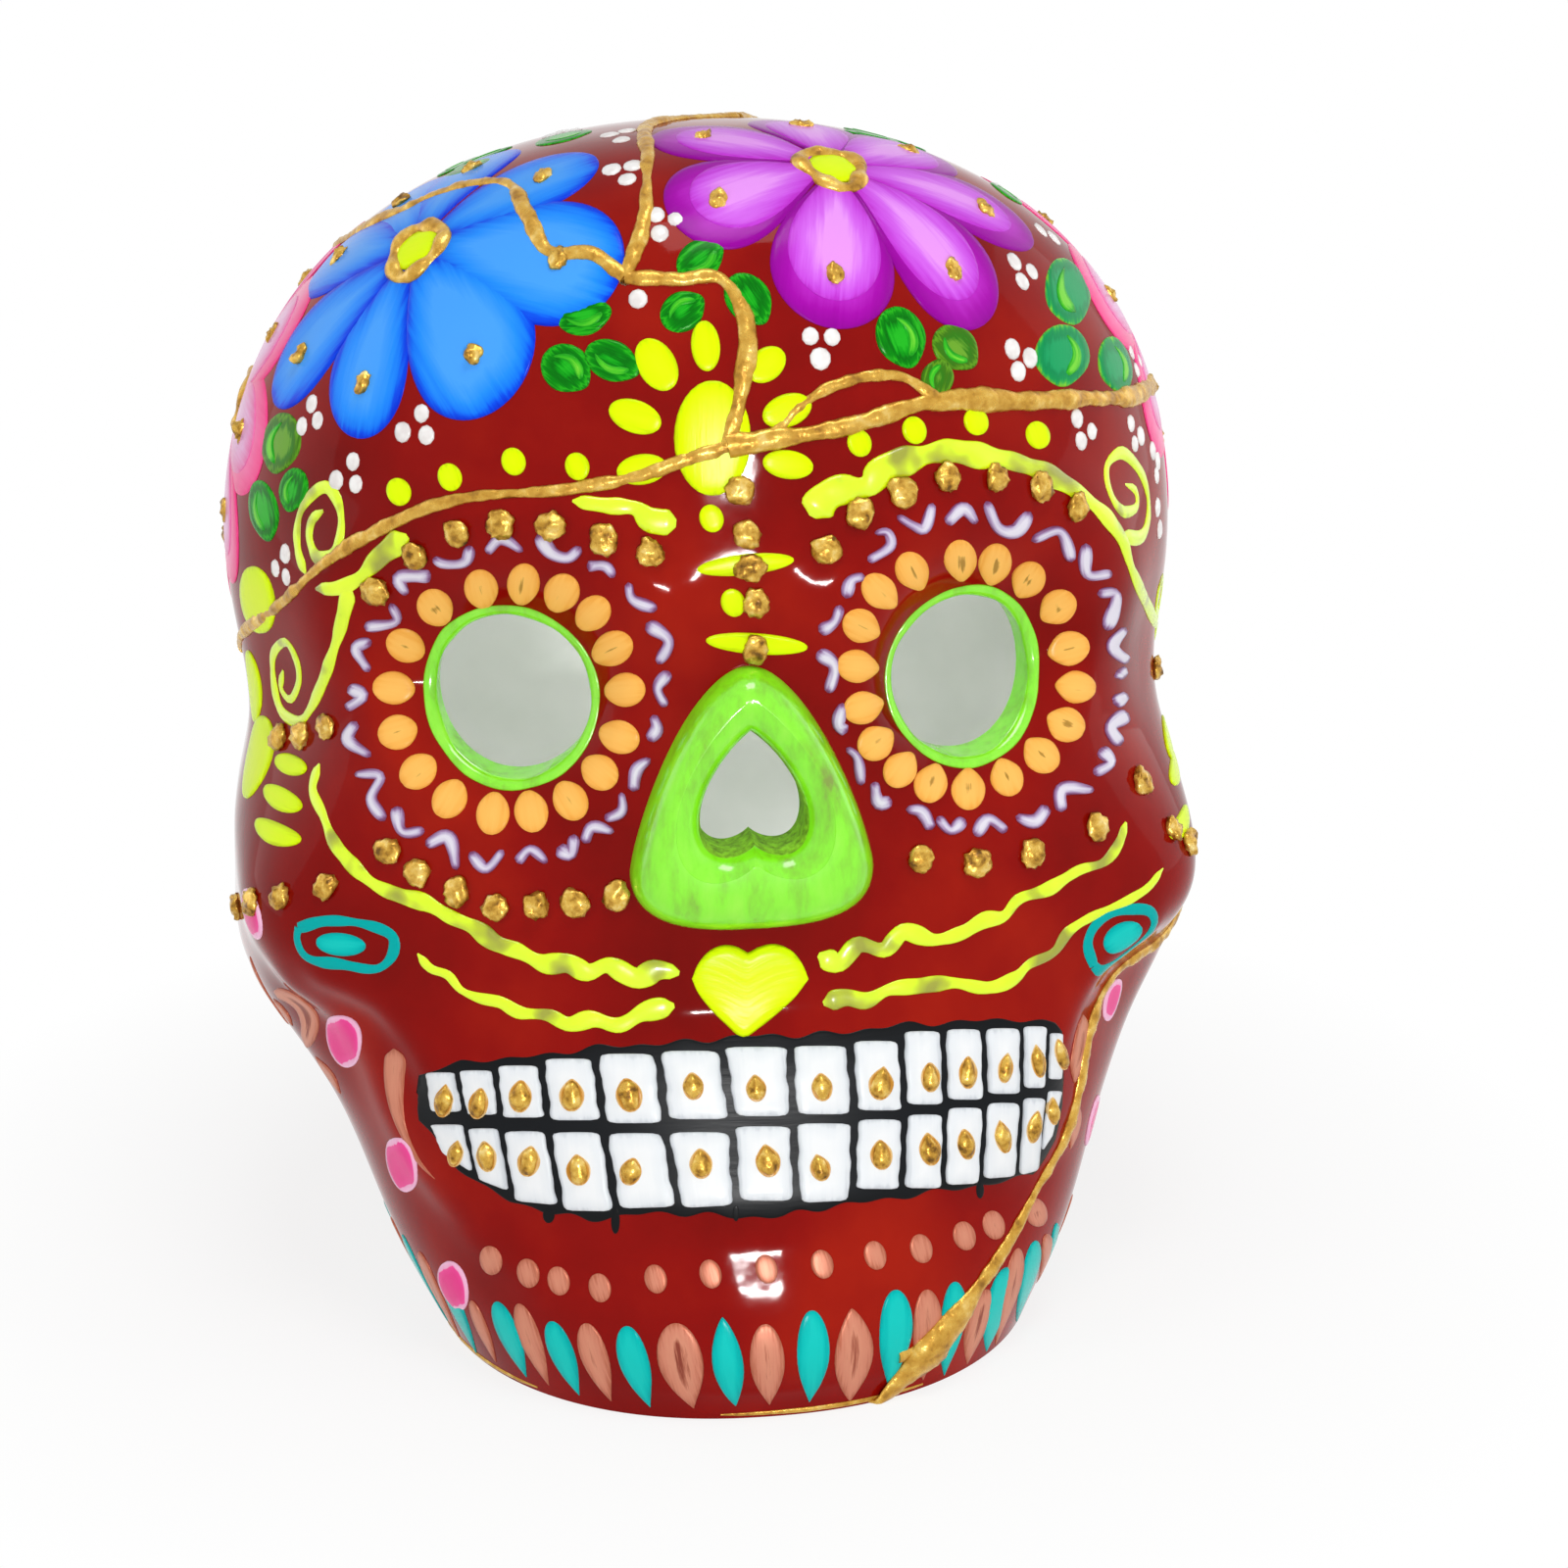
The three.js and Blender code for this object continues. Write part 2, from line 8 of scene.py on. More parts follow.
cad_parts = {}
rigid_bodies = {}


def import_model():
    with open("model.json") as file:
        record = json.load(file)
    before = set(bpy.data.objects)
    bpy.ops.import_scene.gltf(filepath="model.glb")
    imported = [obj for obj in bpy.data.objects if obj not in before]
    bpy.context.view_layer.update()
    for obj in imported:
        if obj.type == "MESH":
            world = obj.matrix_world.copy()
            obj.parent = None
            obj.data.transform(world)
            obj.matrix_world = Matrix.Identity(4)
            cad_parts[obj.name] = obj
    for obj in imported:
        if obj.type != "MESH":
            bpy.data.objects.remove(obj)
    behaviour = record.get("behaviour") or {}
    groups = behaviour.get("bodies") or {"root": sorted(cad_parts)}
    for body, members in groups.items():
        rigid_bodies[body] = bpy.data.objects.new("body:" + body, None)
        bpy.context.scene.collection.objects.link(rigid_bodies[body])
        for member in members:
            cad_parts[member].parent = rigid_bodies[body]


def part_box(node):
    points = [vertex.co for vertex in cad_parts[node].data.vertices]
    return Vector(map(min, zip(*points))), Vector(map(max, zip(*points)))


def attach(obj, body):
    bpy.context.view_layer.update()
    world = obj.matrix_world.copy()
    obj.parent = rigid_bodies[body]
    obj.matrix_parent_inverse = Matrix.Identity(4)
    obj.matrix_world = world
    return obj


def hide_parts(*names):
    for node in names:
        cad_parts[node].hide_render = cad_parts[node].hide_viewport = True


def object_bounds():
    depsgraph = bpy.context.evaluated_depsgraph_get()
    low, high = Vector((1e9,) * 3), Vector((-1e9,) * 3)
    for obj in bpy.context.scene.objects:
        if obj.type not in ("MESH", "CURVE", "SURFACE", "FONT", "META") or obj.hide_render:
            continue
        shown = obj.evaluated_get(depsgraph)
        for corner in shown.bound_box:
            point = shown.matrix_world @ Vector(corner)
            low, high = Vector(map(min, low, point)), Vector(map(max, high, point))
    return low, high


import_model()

cad_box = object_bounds()

# Viewpoint. The skull is seen from a little above and to the left of its face, through a longish lens.
# The mould is drawn in millimetres about its own centre line; the row's origin lies beside that line.
MM = 0.001
MOULD_SHIFT = np.array([0.657, 4.740, 0.0])
PICTURE = 1600
FOCAL_PIXELS = 3259.0
SENSOR = 36.0
VIEW_TARGET = np.array([12.5, 0.0, 72.2])
VIEW_DISTANCE = 517.0
NEAR, FAR = 20.0, 20000.0
YAW, PITCH, ROLL = np.radians([-7.4, 18.0, -0.55])

view_back = np.array([np.sin(YAW) * np.cos(PITCH), -np.cos(YAW) * np.cos(PITCH), np.sin(PITCH)])
level_right = np.array([np.cos(YAW), np.sin(YAW), 0.0])
level_up = np.cross(view_back, level_right)
view_right = np.cos(ROLL) * level_right + np.sin(ROLL) * level_up
view_up = np.cos(ROLL) * level_up - np.sin(ROLL) * level_right
view_place = VIEW_TARGET + VIEW_DISTANCE * view_back


def to_row(points):
    """Mould millimetres to metres in the row's frame."""
    return (np.asarray(points, float) - MOULD_SHIFT) * MM


lens = bpy.data.cameras.new("camera")
lens.sensor_width = SENSOR
lens.lens = FOCAL_PIXELS * SENSOR / PICTURE
lens.clip_start = NEAR * MM
lens.clip_end = FAR * MM
camera = bpy.data.objects.new("camera", lens)
bpy.context.scene.collection.objects.link(camera)
camera.matrix_world = Matrix.Translation(Vector(to_row(view_place))) @ Matrix(
    np.column_stack([view_right, view_up, view_back]).tolist()).to_4x4()
bpy.context.scene.camera = camera
bpy.context.scene.view_settings.view_transform = "Standard"


# Shell. A hollow skull of slip-cast earthenware about 5 mm thick, open at the foot, dipped in oxblood
# glaze outside and white glaze inside. Round eye holes and a heart-shaped nose hole are cut through it.
HEIGHT = 180.0
WALL = 5.0
PAINT_ROOM = 0.4
DOME_START = 112.0
DOME_SQUARENESS = 2.2
CROWN_APEX_Y = -16.0
HEART = np.array([0.0, 8.0, 95.0])
FOOT_PLAIN = 6.0
LEVELS = np.array([0.0, 14.0, 32.0, 52.0, 72.0, 90.0, DOME_START])
HALF = np.array([47.5, 54.5, 62.0, 73.0, 75.5, 72.5, 74.5])
AXIS = np.array([-25.0, -21.0, -11.0, -2.0, 0.0, 1.0, 4.0])
FRONT = np.array([-76.0, -77.5, -73.0, -66.0, -62.0, -60.0, -58.0])
BACK = np.array([38.0, 46.0, 60.0, 74.0, 84.0, 88.0, 86.0])
SQUARE = np.array([2.2, 2.2, 2.3, 2.4, 2.4, 2.3, 2.1])
FRONT_DENSITY = 0.55
# Soft swellings and hollows, the same on both sides: x, y, z, how far out, how wide, how tall.
SWELLINGS = {
    "cheekbone": (64, -36, 68, 5, 17, 11),
    "cheek hollow": (60, -42, 49, -4, 15, 10),
    "temple": (70, -26, 98, -2.5, 15, 12),
    "back of jaw": (64, 12, 48, 5.5, 24, 14),
    "chin": (0, -77, 12, 2, 18, 9),
    "between brows": (0, -58, 120, 1.5, 16, 10),
}
# Soft ridges along lines: the points, how far out, how wide, and whether both sides have it.
FOLDS = {
    "cheek fold": ([(60, -45, 62), (54, -50, 59), (48, -55, 51)], 1.2, 4.5, True),
    "edge of jaw": ([(-65, -38, 57), (-57, -47, 46), (-50, -53, 36.5), (-41, -61, 27), (-34, -67, 23)],
                    1.5, 5.5, False),
}
EYE_X, EYE_Z = 35.2, 105.0
EYE_DISH_RADIUS, EYE_DISH_DEPTH, EYE_DISH_FLOOR, EYE_DISH_INSIDE = 20.0, 9.0, 0.3, 1.2
EYE_HOLE_RADIUS, EYE_HOLE_DROP, EYE_HOLE_TURN = 11.8, 1.7, np.radians(12.0)
EYE_HOLE_STEPS, EYE_TOOL_REACH = 72, 4 * WALL
BROW_RIDGE, BROW_RIDGE_AT, BROW_RIDGE_SPREAD = 2.0, 1.25, 0.3
MOUTH_Z, MOUTH_HALF_HEIGHT, MOUTH_HALF_WIDTH = 43.0, 12.0, 47.0
MOUTH_PROUD, MOUTH_EDGE = 1.6, 5.0
NOSE_TOP_Z, NOSE_FOOT_Z, NOSE_HALF_WIDTH = 109.0, 71.0, 17.5
NOSE_PROUD, NOSE_LEAN = 5.0, np.radians(6.0)
NOSE_HOLE_TOP_Z, NOSE_HOLE_FOOT_Z, NOSE_HOLE_HALF_WIDTH = 100.0, 82.5, 7.5
# Right halves of the nose and its hole, as Bezier corners in shares of half width and of height.
NOSE_CORNERS = [(0, 1), (0.42, 1), (0.9, 0.5), (1, 0.24), (1.04, 0.02), (0.5, 0), (0, 0)]
NOSE_HOLE_CORNERS = [(0, 1), (0.5, 0.85), (1.05, 0.5), (1, 0.25), (0.95, -0.05), (0.3, -0.03), (0, 0.1)]
NOSE_STEPS = 28
# Rings of the nose pad: shares of the way in to the hole, and of the way out to the front of the nose.
NOSE_PAD_RINGS = ((0.0, -0.45), (0.0, 0.02), (0.03, 0.3), (0.08, 0.52), (0.16, 0.74), (0.28, 0.91),
                  (0.42, 1.0), (0.6, 1.02), (0.8, 1.0))
# Rings of the nose hole: how far behind the front of the nose, and how many times the hole's size.
NOSE_LIP_RINGS = ((-4.0, 1.75), (0.0, 1.5), (0.5, 1.32), (1.3, 1.16), (2.4, 1.05), (4.0, 1.0),
                  (8 * WALL, 1.0))
NOSE_LIME_BANDS = 4
IN_FRONT_Y = -150.0
OUTER_COLUMNS, OUTER_LOW_ROWS, OUTER_DOME_ROWS = 280, 104, 52
INNER_COLUMNS, INNER_LOW_ROWS, INNER_DOME_ROWS = 120, 44, 24
GLAZED, WHITE_INSIDE, BROKEN, LIME, SHADED_LIME = 0, 1, 2, 3, 4


def smooth(value, low, high):
    t = np.clip((value - low) / (high - low), 0.0, 1.0)
    return t * t * (3 - 2 * t)


def between(values, z):
    """Smooth curve through the values at LEVELS, level at its upper end."""
    slope = np.zeros(len(LEVELS))
    slope[0] = (values[1] - values[0]) / (LEVELS[1] - LEVELS[0])
    slope[1:-1] = (values[2:] - values[:-2]) / (LEVELS[2:] - LEVELS[:-2])
    z = np.clip(z, LEVELS[0], LEVELS[-1])
    i = np.clip(np.searchsorted(LEVELS, z, side="right") - 1, 0, len(LEVELS) - 2)
    span = LEVELS[i + 1] - LEVELS[i]
    t = (z - LEVELS[i]) / span
    return ((2 * t**3 - 3 * t**2 + 1) * values[i] + (t**3 - 2 * t**2 + t) * span * slope[i]
            + (3 * t**2 - 2 * t**3) * values[i + 1] + (t**3 - t**2) * span * slope[i + 1])


def section(z, inset):
    """Half width, axis, reach to the front and reach to the back of the plain form at heights z."""
    power = np.clip((z - DOME_START) / (HEIGHT - inset - DOME_START), 0.0, 1.0) ** DOME_SQUARENESS
    shrink = (1 - power) ** (1 / DOME_SQUARENESS)
    axis = between(AXIS, z)
    return ((between(HALF, z) - inset) * shrink, axis + (CROWN_APEX_Y - axis) * power,
            (axis - between(FRONT, z) - inset) * shrink, (between(BACK, z) - axis - inset) * shrink)


def moulding(p, spread):
    """How far the moulded features stand out of the plain form at points p of it."""
    x, y, z = np.abs(p[..., 0]), p[..., 1], p[..., 2]
    out = np.zeros(x.shape)
    for fx, fy, fz, rise, wide, tall in SWELLINGS.values():
        out += rise * np.exp(-((x - fx) / wide) ** 2 - ((y - fy) / wide) ** 2 - ((z - fz) / tall) ** 2)
    for line, rise, wide, paired in FOLDS.values():
        at = np.stack([x if paired else p[..., 0], y, z], axis=-1)
        near = np.full(x.shape, np.inf)
        for a, b in zip(np.array(line[:-1], float), np.array(line[1:], float)):
            t = np.clip((at - a) @ (b - a) / np.dot(b - a, b - a), 0, 1)[..., None]
            near = np.minimum(near, np.linalg.norm(at - a - (b - a) * t, axis=-1))
        out += rise * np.exp(-((near / wide) ** 2))
    dz = (z - EYE_Z) / EYE_DISH_RADIUS
    r = np.hypot((x - EYE_X) / EYE_DISH_RADIUS, dz)
    dish = -EYE_DISH_DEPTH * (1 - smooth(r, EYE_DISH_FLOOR, spread))
    dish += (BROW_RIDGE * np.exp(-((r - BROW_RIDGE_AT) / BROW_RIDGE_SPREAD) ** 2)
             * smooth(dz, -BROW_RIDGE_SPREAD, 1 - BROW_RIDGE_SPREAD))
    tall = 1 - smooth(np.abs(z - MOUTH_Z), MOUTH_HALF_HEIGHT - MOUTH_EDGE, MOUTH_HALF_HEIGHT + MOUTH_EDGE)
    wide = 1 - smooth(x, MOUTH_HALF_WIDTH - MOUTH_EDGE, MOUTH_HALF_WIDTH + MOUTH_EDGE)
    out += np.where(y < 0, dish + MOUTH_PROUD * tall * wide, 0.0)
    return out * smooth(z, 0.0, FOOT_PLAIN)


def skin(columns, low_rows, dome_rows, inset, foot, spread):
    """Points and faces of a closed skin: rings from the foot up, a foot cap and a single top point."""
    low = DOME_START * np.arange(low_rows) / low_rows
    rise = np.sin(np.arange(dome_rows) / dome_rows * np.pi / 2) ** (2 / DOME_SQUARENESS)
    z = np.concatenate([[foot] if foot < 0 else [], low, DOME_START + (HEIGHT - inset - DOME_START) * rise])
    turn = np.arange(columns) / columns * 2 * np.pi
    angle = turn - FRONT_DENSITY * np.sin(turn)
    power = (2 / between(SQUARE, z))[:, None]
    s = np.sign(np.sin(angle)) * np.abs(np.sin(angle)) ** power
    c = np.sign(np.cos(angle)) * np.abs(np.cos(angle)) ** power

    def ring(draw):
        half, axis, front, back = (v[:, None] for v in section(z, draw))
        y = axis - np.where(c > 0, front, back) * c
        return np.stack([half * s, y, np.broadcast_to(z[:, None], y.shape)], axis=-1)

    points = ring(inset)
    away = points - HEART
    away[..., 2] = np.where(z[:, None] < FOOT_PLAIN, 0.0, away[..., 2])
    away /= np.linalg.norm(away, axis=-1, keepdims=True)
    points = points + away * moulding(ring(0.0), spread)[..., None]
    count = len(z) * columns
    ends = [[0.0, (FRONT[0] + BACK[0]) / 2, z[0]], [0.0, CROWN_APEX_Y, HEIGHT - inset]]
    faces = []
    for i in range(columns):
        j = (i + 1) % columns
        faces.append((count, j, i))
        faces.append((count + 1, count - columns + i, count - columns + j))
        faces += [(k + i, k + j, k + columns + j, k + columns + i)
                  for k in range(0, count - columns, columns)]
    return np.vstack([points.reshape(-1, 3), ends]), faces


def add_object(name, points, faces, edges=(), finishes=(), finish=0):
    """A mesh object in the row's frame from mould millimetres, all its faces in one finish."""
    mesh = bpy.data.meshes.new(name)
    mesh.from_pydata(to_row(points).tolist(), list(edges), faces)
    for material in finishes:
        mesh.materials.append(material)
    mesh.polygons.foreach_set("material_index", np.full(len(mesh.polygons), finish, np.int32))
    mesh.polygons.foreach_set("use_smooth", np.ones(len(mesh.polygons), bool))
    mesh.update()
    made = bpy.data.objects.new(name, mesh)
    bpy.context.scene.collection.objects.link(made)
    return made


def make_plain(made):
    """Turns what the modifiers give into the object's own plain mesh."""
    graph = bpy.context.evaluated_depsgraph_get()
    mesh = bpy.data.meshes.new_from_object(made.evaluated_get(graph), preserve_all_data_layers=True,
                                           depsgraph=graph)
    made.modifiers.clear()
    old, made.data = made.data, mesh
    mesh.name = made.name
    bpy.data.meshes.remove(old)


def trim(made):
    """Presses what would stand past the foot or the widest parts of the body back to them."""
    spots = np.zeros(len(made.data.vertices) * 3)
    made.data.vertices.foreach_get("co", spots)
    spots = np.clip(spots.reshape(-1, 3), np.array(cad_box[0]), np.array(cad_box[1]))
    made.data.vertices.foreach_set("co", spots.ravel())
    made.data.update()


def carve(body, tools, operation):
    """Cuts closed tools out of a closed body, or joins them to it, and removes the tools."""
    for tool in tools:
        step = body.modifiers.new(tool.name, "BOOLEAN")
        step.operation, step.solver, step.object = operation, "MANIFOLD", tool
    make_plain(body)
    for tool in tools:
        bpy.data.meshes.remove(tool.data)


def colour(code):
    """sRGB hex to linear."""
    s = np.array([int(code[i:i + 2], 16) for i in (1, 3, 5)]) / 255
    return (*np.where(s <= 0.04045, s / 12.92, ((s + 0.055) / 1.055) ** 2.4).tolist(), 1.0)


def node(tree, kind, sockets, **settings):
    """Adds a node with its settings; a socket's value may be another node's output."""
    made = tree.nodes.new(kind)
    for key, value in settings.items():
        setattr(made, key, value)
    for key, value in sockets.items():
        if isinstance(value, bpy.types.NodeSocket):
            tree.links.new(value, made.inputs[key])
        else:
            made.inputs[key].default_value = value
    return made


def new_material(name):
    made = bpy.data.materials.new(name)
    made.use_nodes = True
    made.node_tree.nodes.clear()
    return made, made.node_tree


def set_stops(ramp, stops):
    while len(ramp.color_ramp.elements) < len(stops):
        ramp.color_ramp.elements.new(1.0)
    for element, (at, code) in zip(ramp.color_ramp.elements, stops):
        element.position, element.color = at, colour(code)


# Oxblood lead glaze: deep red, darker where it pools and warmer where it ran thin, wet-looking. Its IOR is
# below that of glass, so that white surroundings don't veil the red.
oxblood, tree = new_material("oxblood_glaze")
where = node(tree, "ShaderNodeTexCoord", {}).outputs["Object"]
pools = node(tree, "ShaderNodeTexNoise", {
    "Vector": where, "Scale": 1 / (28 * MM), "Detail": 4.0}).outputs["Fac"]
ramp = node(tree, "ShaderNodeValToRGB", {"Fac": pools})
set_stops(ramp, [(0.28, "#760603"), (0.5, "#8B0A05"), (0.72, "#A01A08")])
haze = node(tree, "ShaderNodeTexNoise", {
    "Vector": where, "Scale": 1 / (9 * MM), "Detail": 3.0}).outputs["Fac"]
gloss = node(tree, "ShaderNodeMapRange", {"Value": haze, "To Min": 0.03, "To Max": 0.09}).outputs["Result"]
ripple = node(tree, "ShaderNodeTexNoise", {
    "Vector": where, "Scale": 1 / (5 * MM), "Detail": 2.0}).outputs["Fac"]
bump = node(tree, "ShaderNodeBump", {
    "Height": ripple, "Strength": 0.12, "Distance": 0.25 * MM}).outputs["Normal"]
skinned = node(tree, "ShaderNodeBsdfPrincipled", {
    "Base Color": ramp.outputs["Color"], "Roughness": gloss, "IOR": 1.17, "Normal": bump})
node(tree, "ShaderNodeOutputMaterial", {"Surface": skinned.outputs["BSDF"]})


def mottled(name, stops, size, noise, surface, relief=None, stretch=(1.0, 1.0, 1.0)):
    """A finish whose colour runs through the stops over noise of one size in millimetres. relief is how
    strongly, and how deep in millimetres, the same noise stands out; surface is the rest of its sockets."""
    made, tree = new_material(name)
    where = node(tree, "ShaderNodeTexCoord", {}).outputs["Object"]
    drawn = node(tree, "ShaderNodeMapping", {"Vector": where, "Scale": stretch}).outputs["Vector"]
    mottle = node(tree, "ShaderNodeTexNoise", {
        "Vector": drawn, "Scale": 1 / (size * MM), **noise}).outputs["Fac"]
    ramp = node(tree, "ShaderNodeValToRGB", {"Fac": mottle})
    set_stops(ramp, stops)
    if relief:
        strength, depth = relief
        bump = node(tree, "ShaderNodeBump", {
            "Height": mottle, "Strength": strength, "Distance": depth * MM}).outputs["Normal"]
        surface = {**surface, "Normal": bump}
    skinned = node(tree, "ShaderNodeBsdfPrincipled", {"Base Color": ramp.outputs["Color"], **surface})
    node(tree, "ShaderNodeOutputMaterial", {"Surface": skinned.outputs["BSDF"]})
    return made


# White tin glaze inside: even, faintly grey where it is thin.
tin_white = mottled("white_tin_glaze", [(0.3, "#E4E8E2"), (0.7, "#F1F3EF")], 18.0, {"Detail": 3.0},
                    {"Roughness": 0.2, "IOR": 1.5})

# Fired earthenware where it broke and on the wiped foot: matt, sandy, speckled with grit.
earthenware = mottled("fired_earthenware", [(0.35, "#A9714C"), (0.65, "#C99670")], 0.8, {"Detail": 2.0},
                      {"Roughness": 0.9}, (0.4, 0.1))

# Lime enamel on the nose and round the eye holes: brushed on in two coats, so darker streaks show.
lime_enamel = mottled(
    "lime_enamel", [(0.26, "#7E9A34"), (0.36, "#7FD020"), (0.5, "#86EC1E"), (0.8, "#9CF23C")], 4.0,
    {"Detail": 5.0, "Roughness": 0.6}, {"Roughness": 0.16, "Coat Weight": 0.4, "Coat Roughness": 0.05},
    (0.2, 0.3), (1.0, 1.0, 0.35))

# Lime inside the nose hole, darker than outside as painted shade of the deep walls, mottled over a sponged,
# pitted wall.
olive_wash = mottled(
    "olive_wash", [(0.3, "#5A7C18"), (0.45, "#78AA22"), (0.62, "#8ECE28"), (0.8, "#A0E838")], 1.1,
    {"Detail": 4.0, "Roughness": 0.65}, {"Roughness": 0.8, "IOR": 1.3}, (0.6, 0.4))

FINISHES = (oxblood, tin_white, earthenware, lime_enamel, olive_wash)

glaze_points, glaze_faces = skin(OUTER_COLUMNS, OUTER_LOW_ROWS, OUTER_DOME_ROWS, PAINT_ROOM, 0.0, 1.0)
shell = add_object("shell", glaze_points, glaze_faces, finishes=FINISHES, finish=GLAZED)
glaze_tree = BVHTree.FromPolygons(glaze_points.tolist(), glaze_faces)
inside_points, inside_faces = skin(INNER_COLUMNS, INNER_LOW_ROWS, INNER_DOME_ROWS, WALL, -WALL,
                                   EYE_DISH_INSIDE)
hollow = add_object("hollow", inside_points, inside_faces, finishes=FINISHES, finish=WHITE_INSIDE)


def cast(starts, ways):
    """Points and normals where rays meet the glaze; a ray that misses takes the nearest glaze to it."""
    places, normals = [], []
    for start, way in zip(np.broadcast_to(starts, ways.shape), ways):
        hit, normal, _, _ = glaze_tree.ray_cast(Vector(start), Vector(way))
        if hit is None:
            near = start + way * np.dot(HEART - start, way) / np.dot(way, way)
            hit, normal, _, _ = glaze_tree.find_nearest(Vector(near))
        places.append(hit)
        normals.append(normal)
    places, normals = np.array(places), np.array(normals)
    inward = np.sum(normals * (places - HEART), axis=1) < 0
    return places, normals * np.where(inward, -1, 1)[:, None]


def from_heart(ways):
    """The glaze in directions from the heart of the skull."""
    return cast(HEART, np.asarray(ways, float))


def tube(rings):
    """Points and faces of a closed tube through rings of equal length, its ends filled."""
    rings = np.asarray(rings)
    count, size = rings.shape[:2]
    faces = [tuple(range(size - 1, -1, -1)), tuple(range((count - 1) * size, count * size))]
    for k in range(0, (count - 1) * size, size):
        faces += [(k + i, k + (i + 1) % size, k + size + (i + 1) % size, k + size + i) for i in range(size)]
    points = rings.reshape(-1, 3)
    about = points - points.mean(axis=0)
    volume = sum(np.dot(about[f[0]], np.cross(about[f[i]], about[f[i + 1]])) for f in faces
                 for i in range(1, len(f) - 1))
    return points, faces if volume > 0 else [f[::-1] for f in faces]


def bezier_outline(corners, half_width, top, foot, count):
    """An outline of a given width and height from the corners of its right half, sampled all round."""
    corners = [(x * half_width, foot + (top - foot) * z) for x, z in corners]
    corners = np.array(corners + [(-x, z) for x, z in corners[-2::-1]], float)
    t = np.linspace(0, 1, count, endpoint=False)[:, None]
    pieces = []
    for i in range(0, len(corners) - 1, 3):
        a, b, c, d = corners[i:i + 4]
        pieces.append((1 - t) ** 3 * a + 3 * t * (1 - t) ** 2 * b + 3 * t**2 * (1 - t) * c + t**3 * d)
    return np.vstack(pieces)


def front_at(z):
    """Where the front of the plain form lies at height z."""
    _, axis, front, _ = section(np.array([z]), 0.0)
    return axis[0] - front[0]


eye_tools, eye_aims = [], []
round_eye = np.linspace(0, 2 * np.pi, EYE_HOLE_STEPS, endpoint=False)
for side in (-1, 1):
    into = np.array([-side * np.sin(EYE_HOLE_TURN), np.cos(EYE_HOLE_TURN), 0.0])
    across = np.array([np.cos(EYE_HOLE_TURN), side * np.sin(EYE_HOLE_TURN), 0.0])
    centre = np.array([side * EYE_X, front_at(EYE_Z), EYE_Z - EYE_HOLE_DROP])
    circle = EYE_HOLE_RADIUS * (np.cos(round_eye)[:, None] * across + np.sin(round_eye)[:, None] * [0, 0, 1])
    points, faces = tube([centre + circle + into * d for d in (-EYE_TOOL_REACH, EYE_TOOL_REACH)])
    eye_aims.append((centre, into, across))
    eye_tools.append(add_object("eye_hole", points, faces, finishes=FINISHES, finish=LIME))

# The nose is a soft pad with a rounded lip round its hole, leaning back a little.
nose_middle = (NOSE_TOP_Z + NOSE_FOOT_Z) / 2
nose_front = front_at(nose_middle) - NOSE_PROUD
nose_outline = bezier_outline(NOSE_CORNERS, NOSE_HALF_WIDTH, NOSE_TOP_Z, NOSE_FOOT_Z, NOSE_STEPS)
hole_outline = bezier_outline(NOSE_HOLE_CORNERS, NOSE_HOLE_HALF_WIDTH, NOSE_HOLE_TOP_Z, NOSE_HOLE_FOOT_Z,
                              NOSE_STEPS)
hole_middle = hole_outline.mean(axis=0)


def nose_plane(z):
    """The front of the leaning nose at height z."""
    return nose_front + np.tan(NOSE_LEAN) * (z - nose_middle)


pad_rings = []
for inward, rise in NOSE_PAD_RINGS:
    flat = nose_outline + (hole_outline - nose_outline) * inward
    start = np.column_stack([flat[:, 0], np.full(len(flat), IN_FRONT_Y), flat[:, 1]])
    base = cast(start, np.tile([0.0, 1.0, 0.0], (len(flat), 1)))[0][:, 1]
    pad_rings.append(np.column_stack([flat[:, 0], base + (nose_plane(flat[:, 1]) - base) * rise, flat[:, 1]]))
points, faces = tube(pad_rings)
nose_pad = add_object("nose_pad", points, faces, finishes=FINISHES, finish=LIME)
lip_rings = []
for behind, scale in NOSE_LIP_RINGS:
    flat = hole_middle + (hole_outline - hole_middle) * scale
    lip_rings.append(np.column_stack([flat[:, 0], nose_plane(flat[:, 1]) + behind, flat[:, 1]]))
points, faces = tube(lip_rings)
nose_hole = add_object("nose_hole", points, faces, finishes=FINISHES, finish=LIME)
# The walls deeper in the nose hole take the darker lime, as painted shade.
end_caps = 2
for wall in nose_hole.data.polygons[end_caps + NOSE_LIME_BANDS * len(hole_outline):]:
    wall.material_index = SHADED_LIME

carve(shell, [nose_pad], "UNION")
carve(shell, [hollow, nose_hole, *eye_tools], "DIFFERENCE")


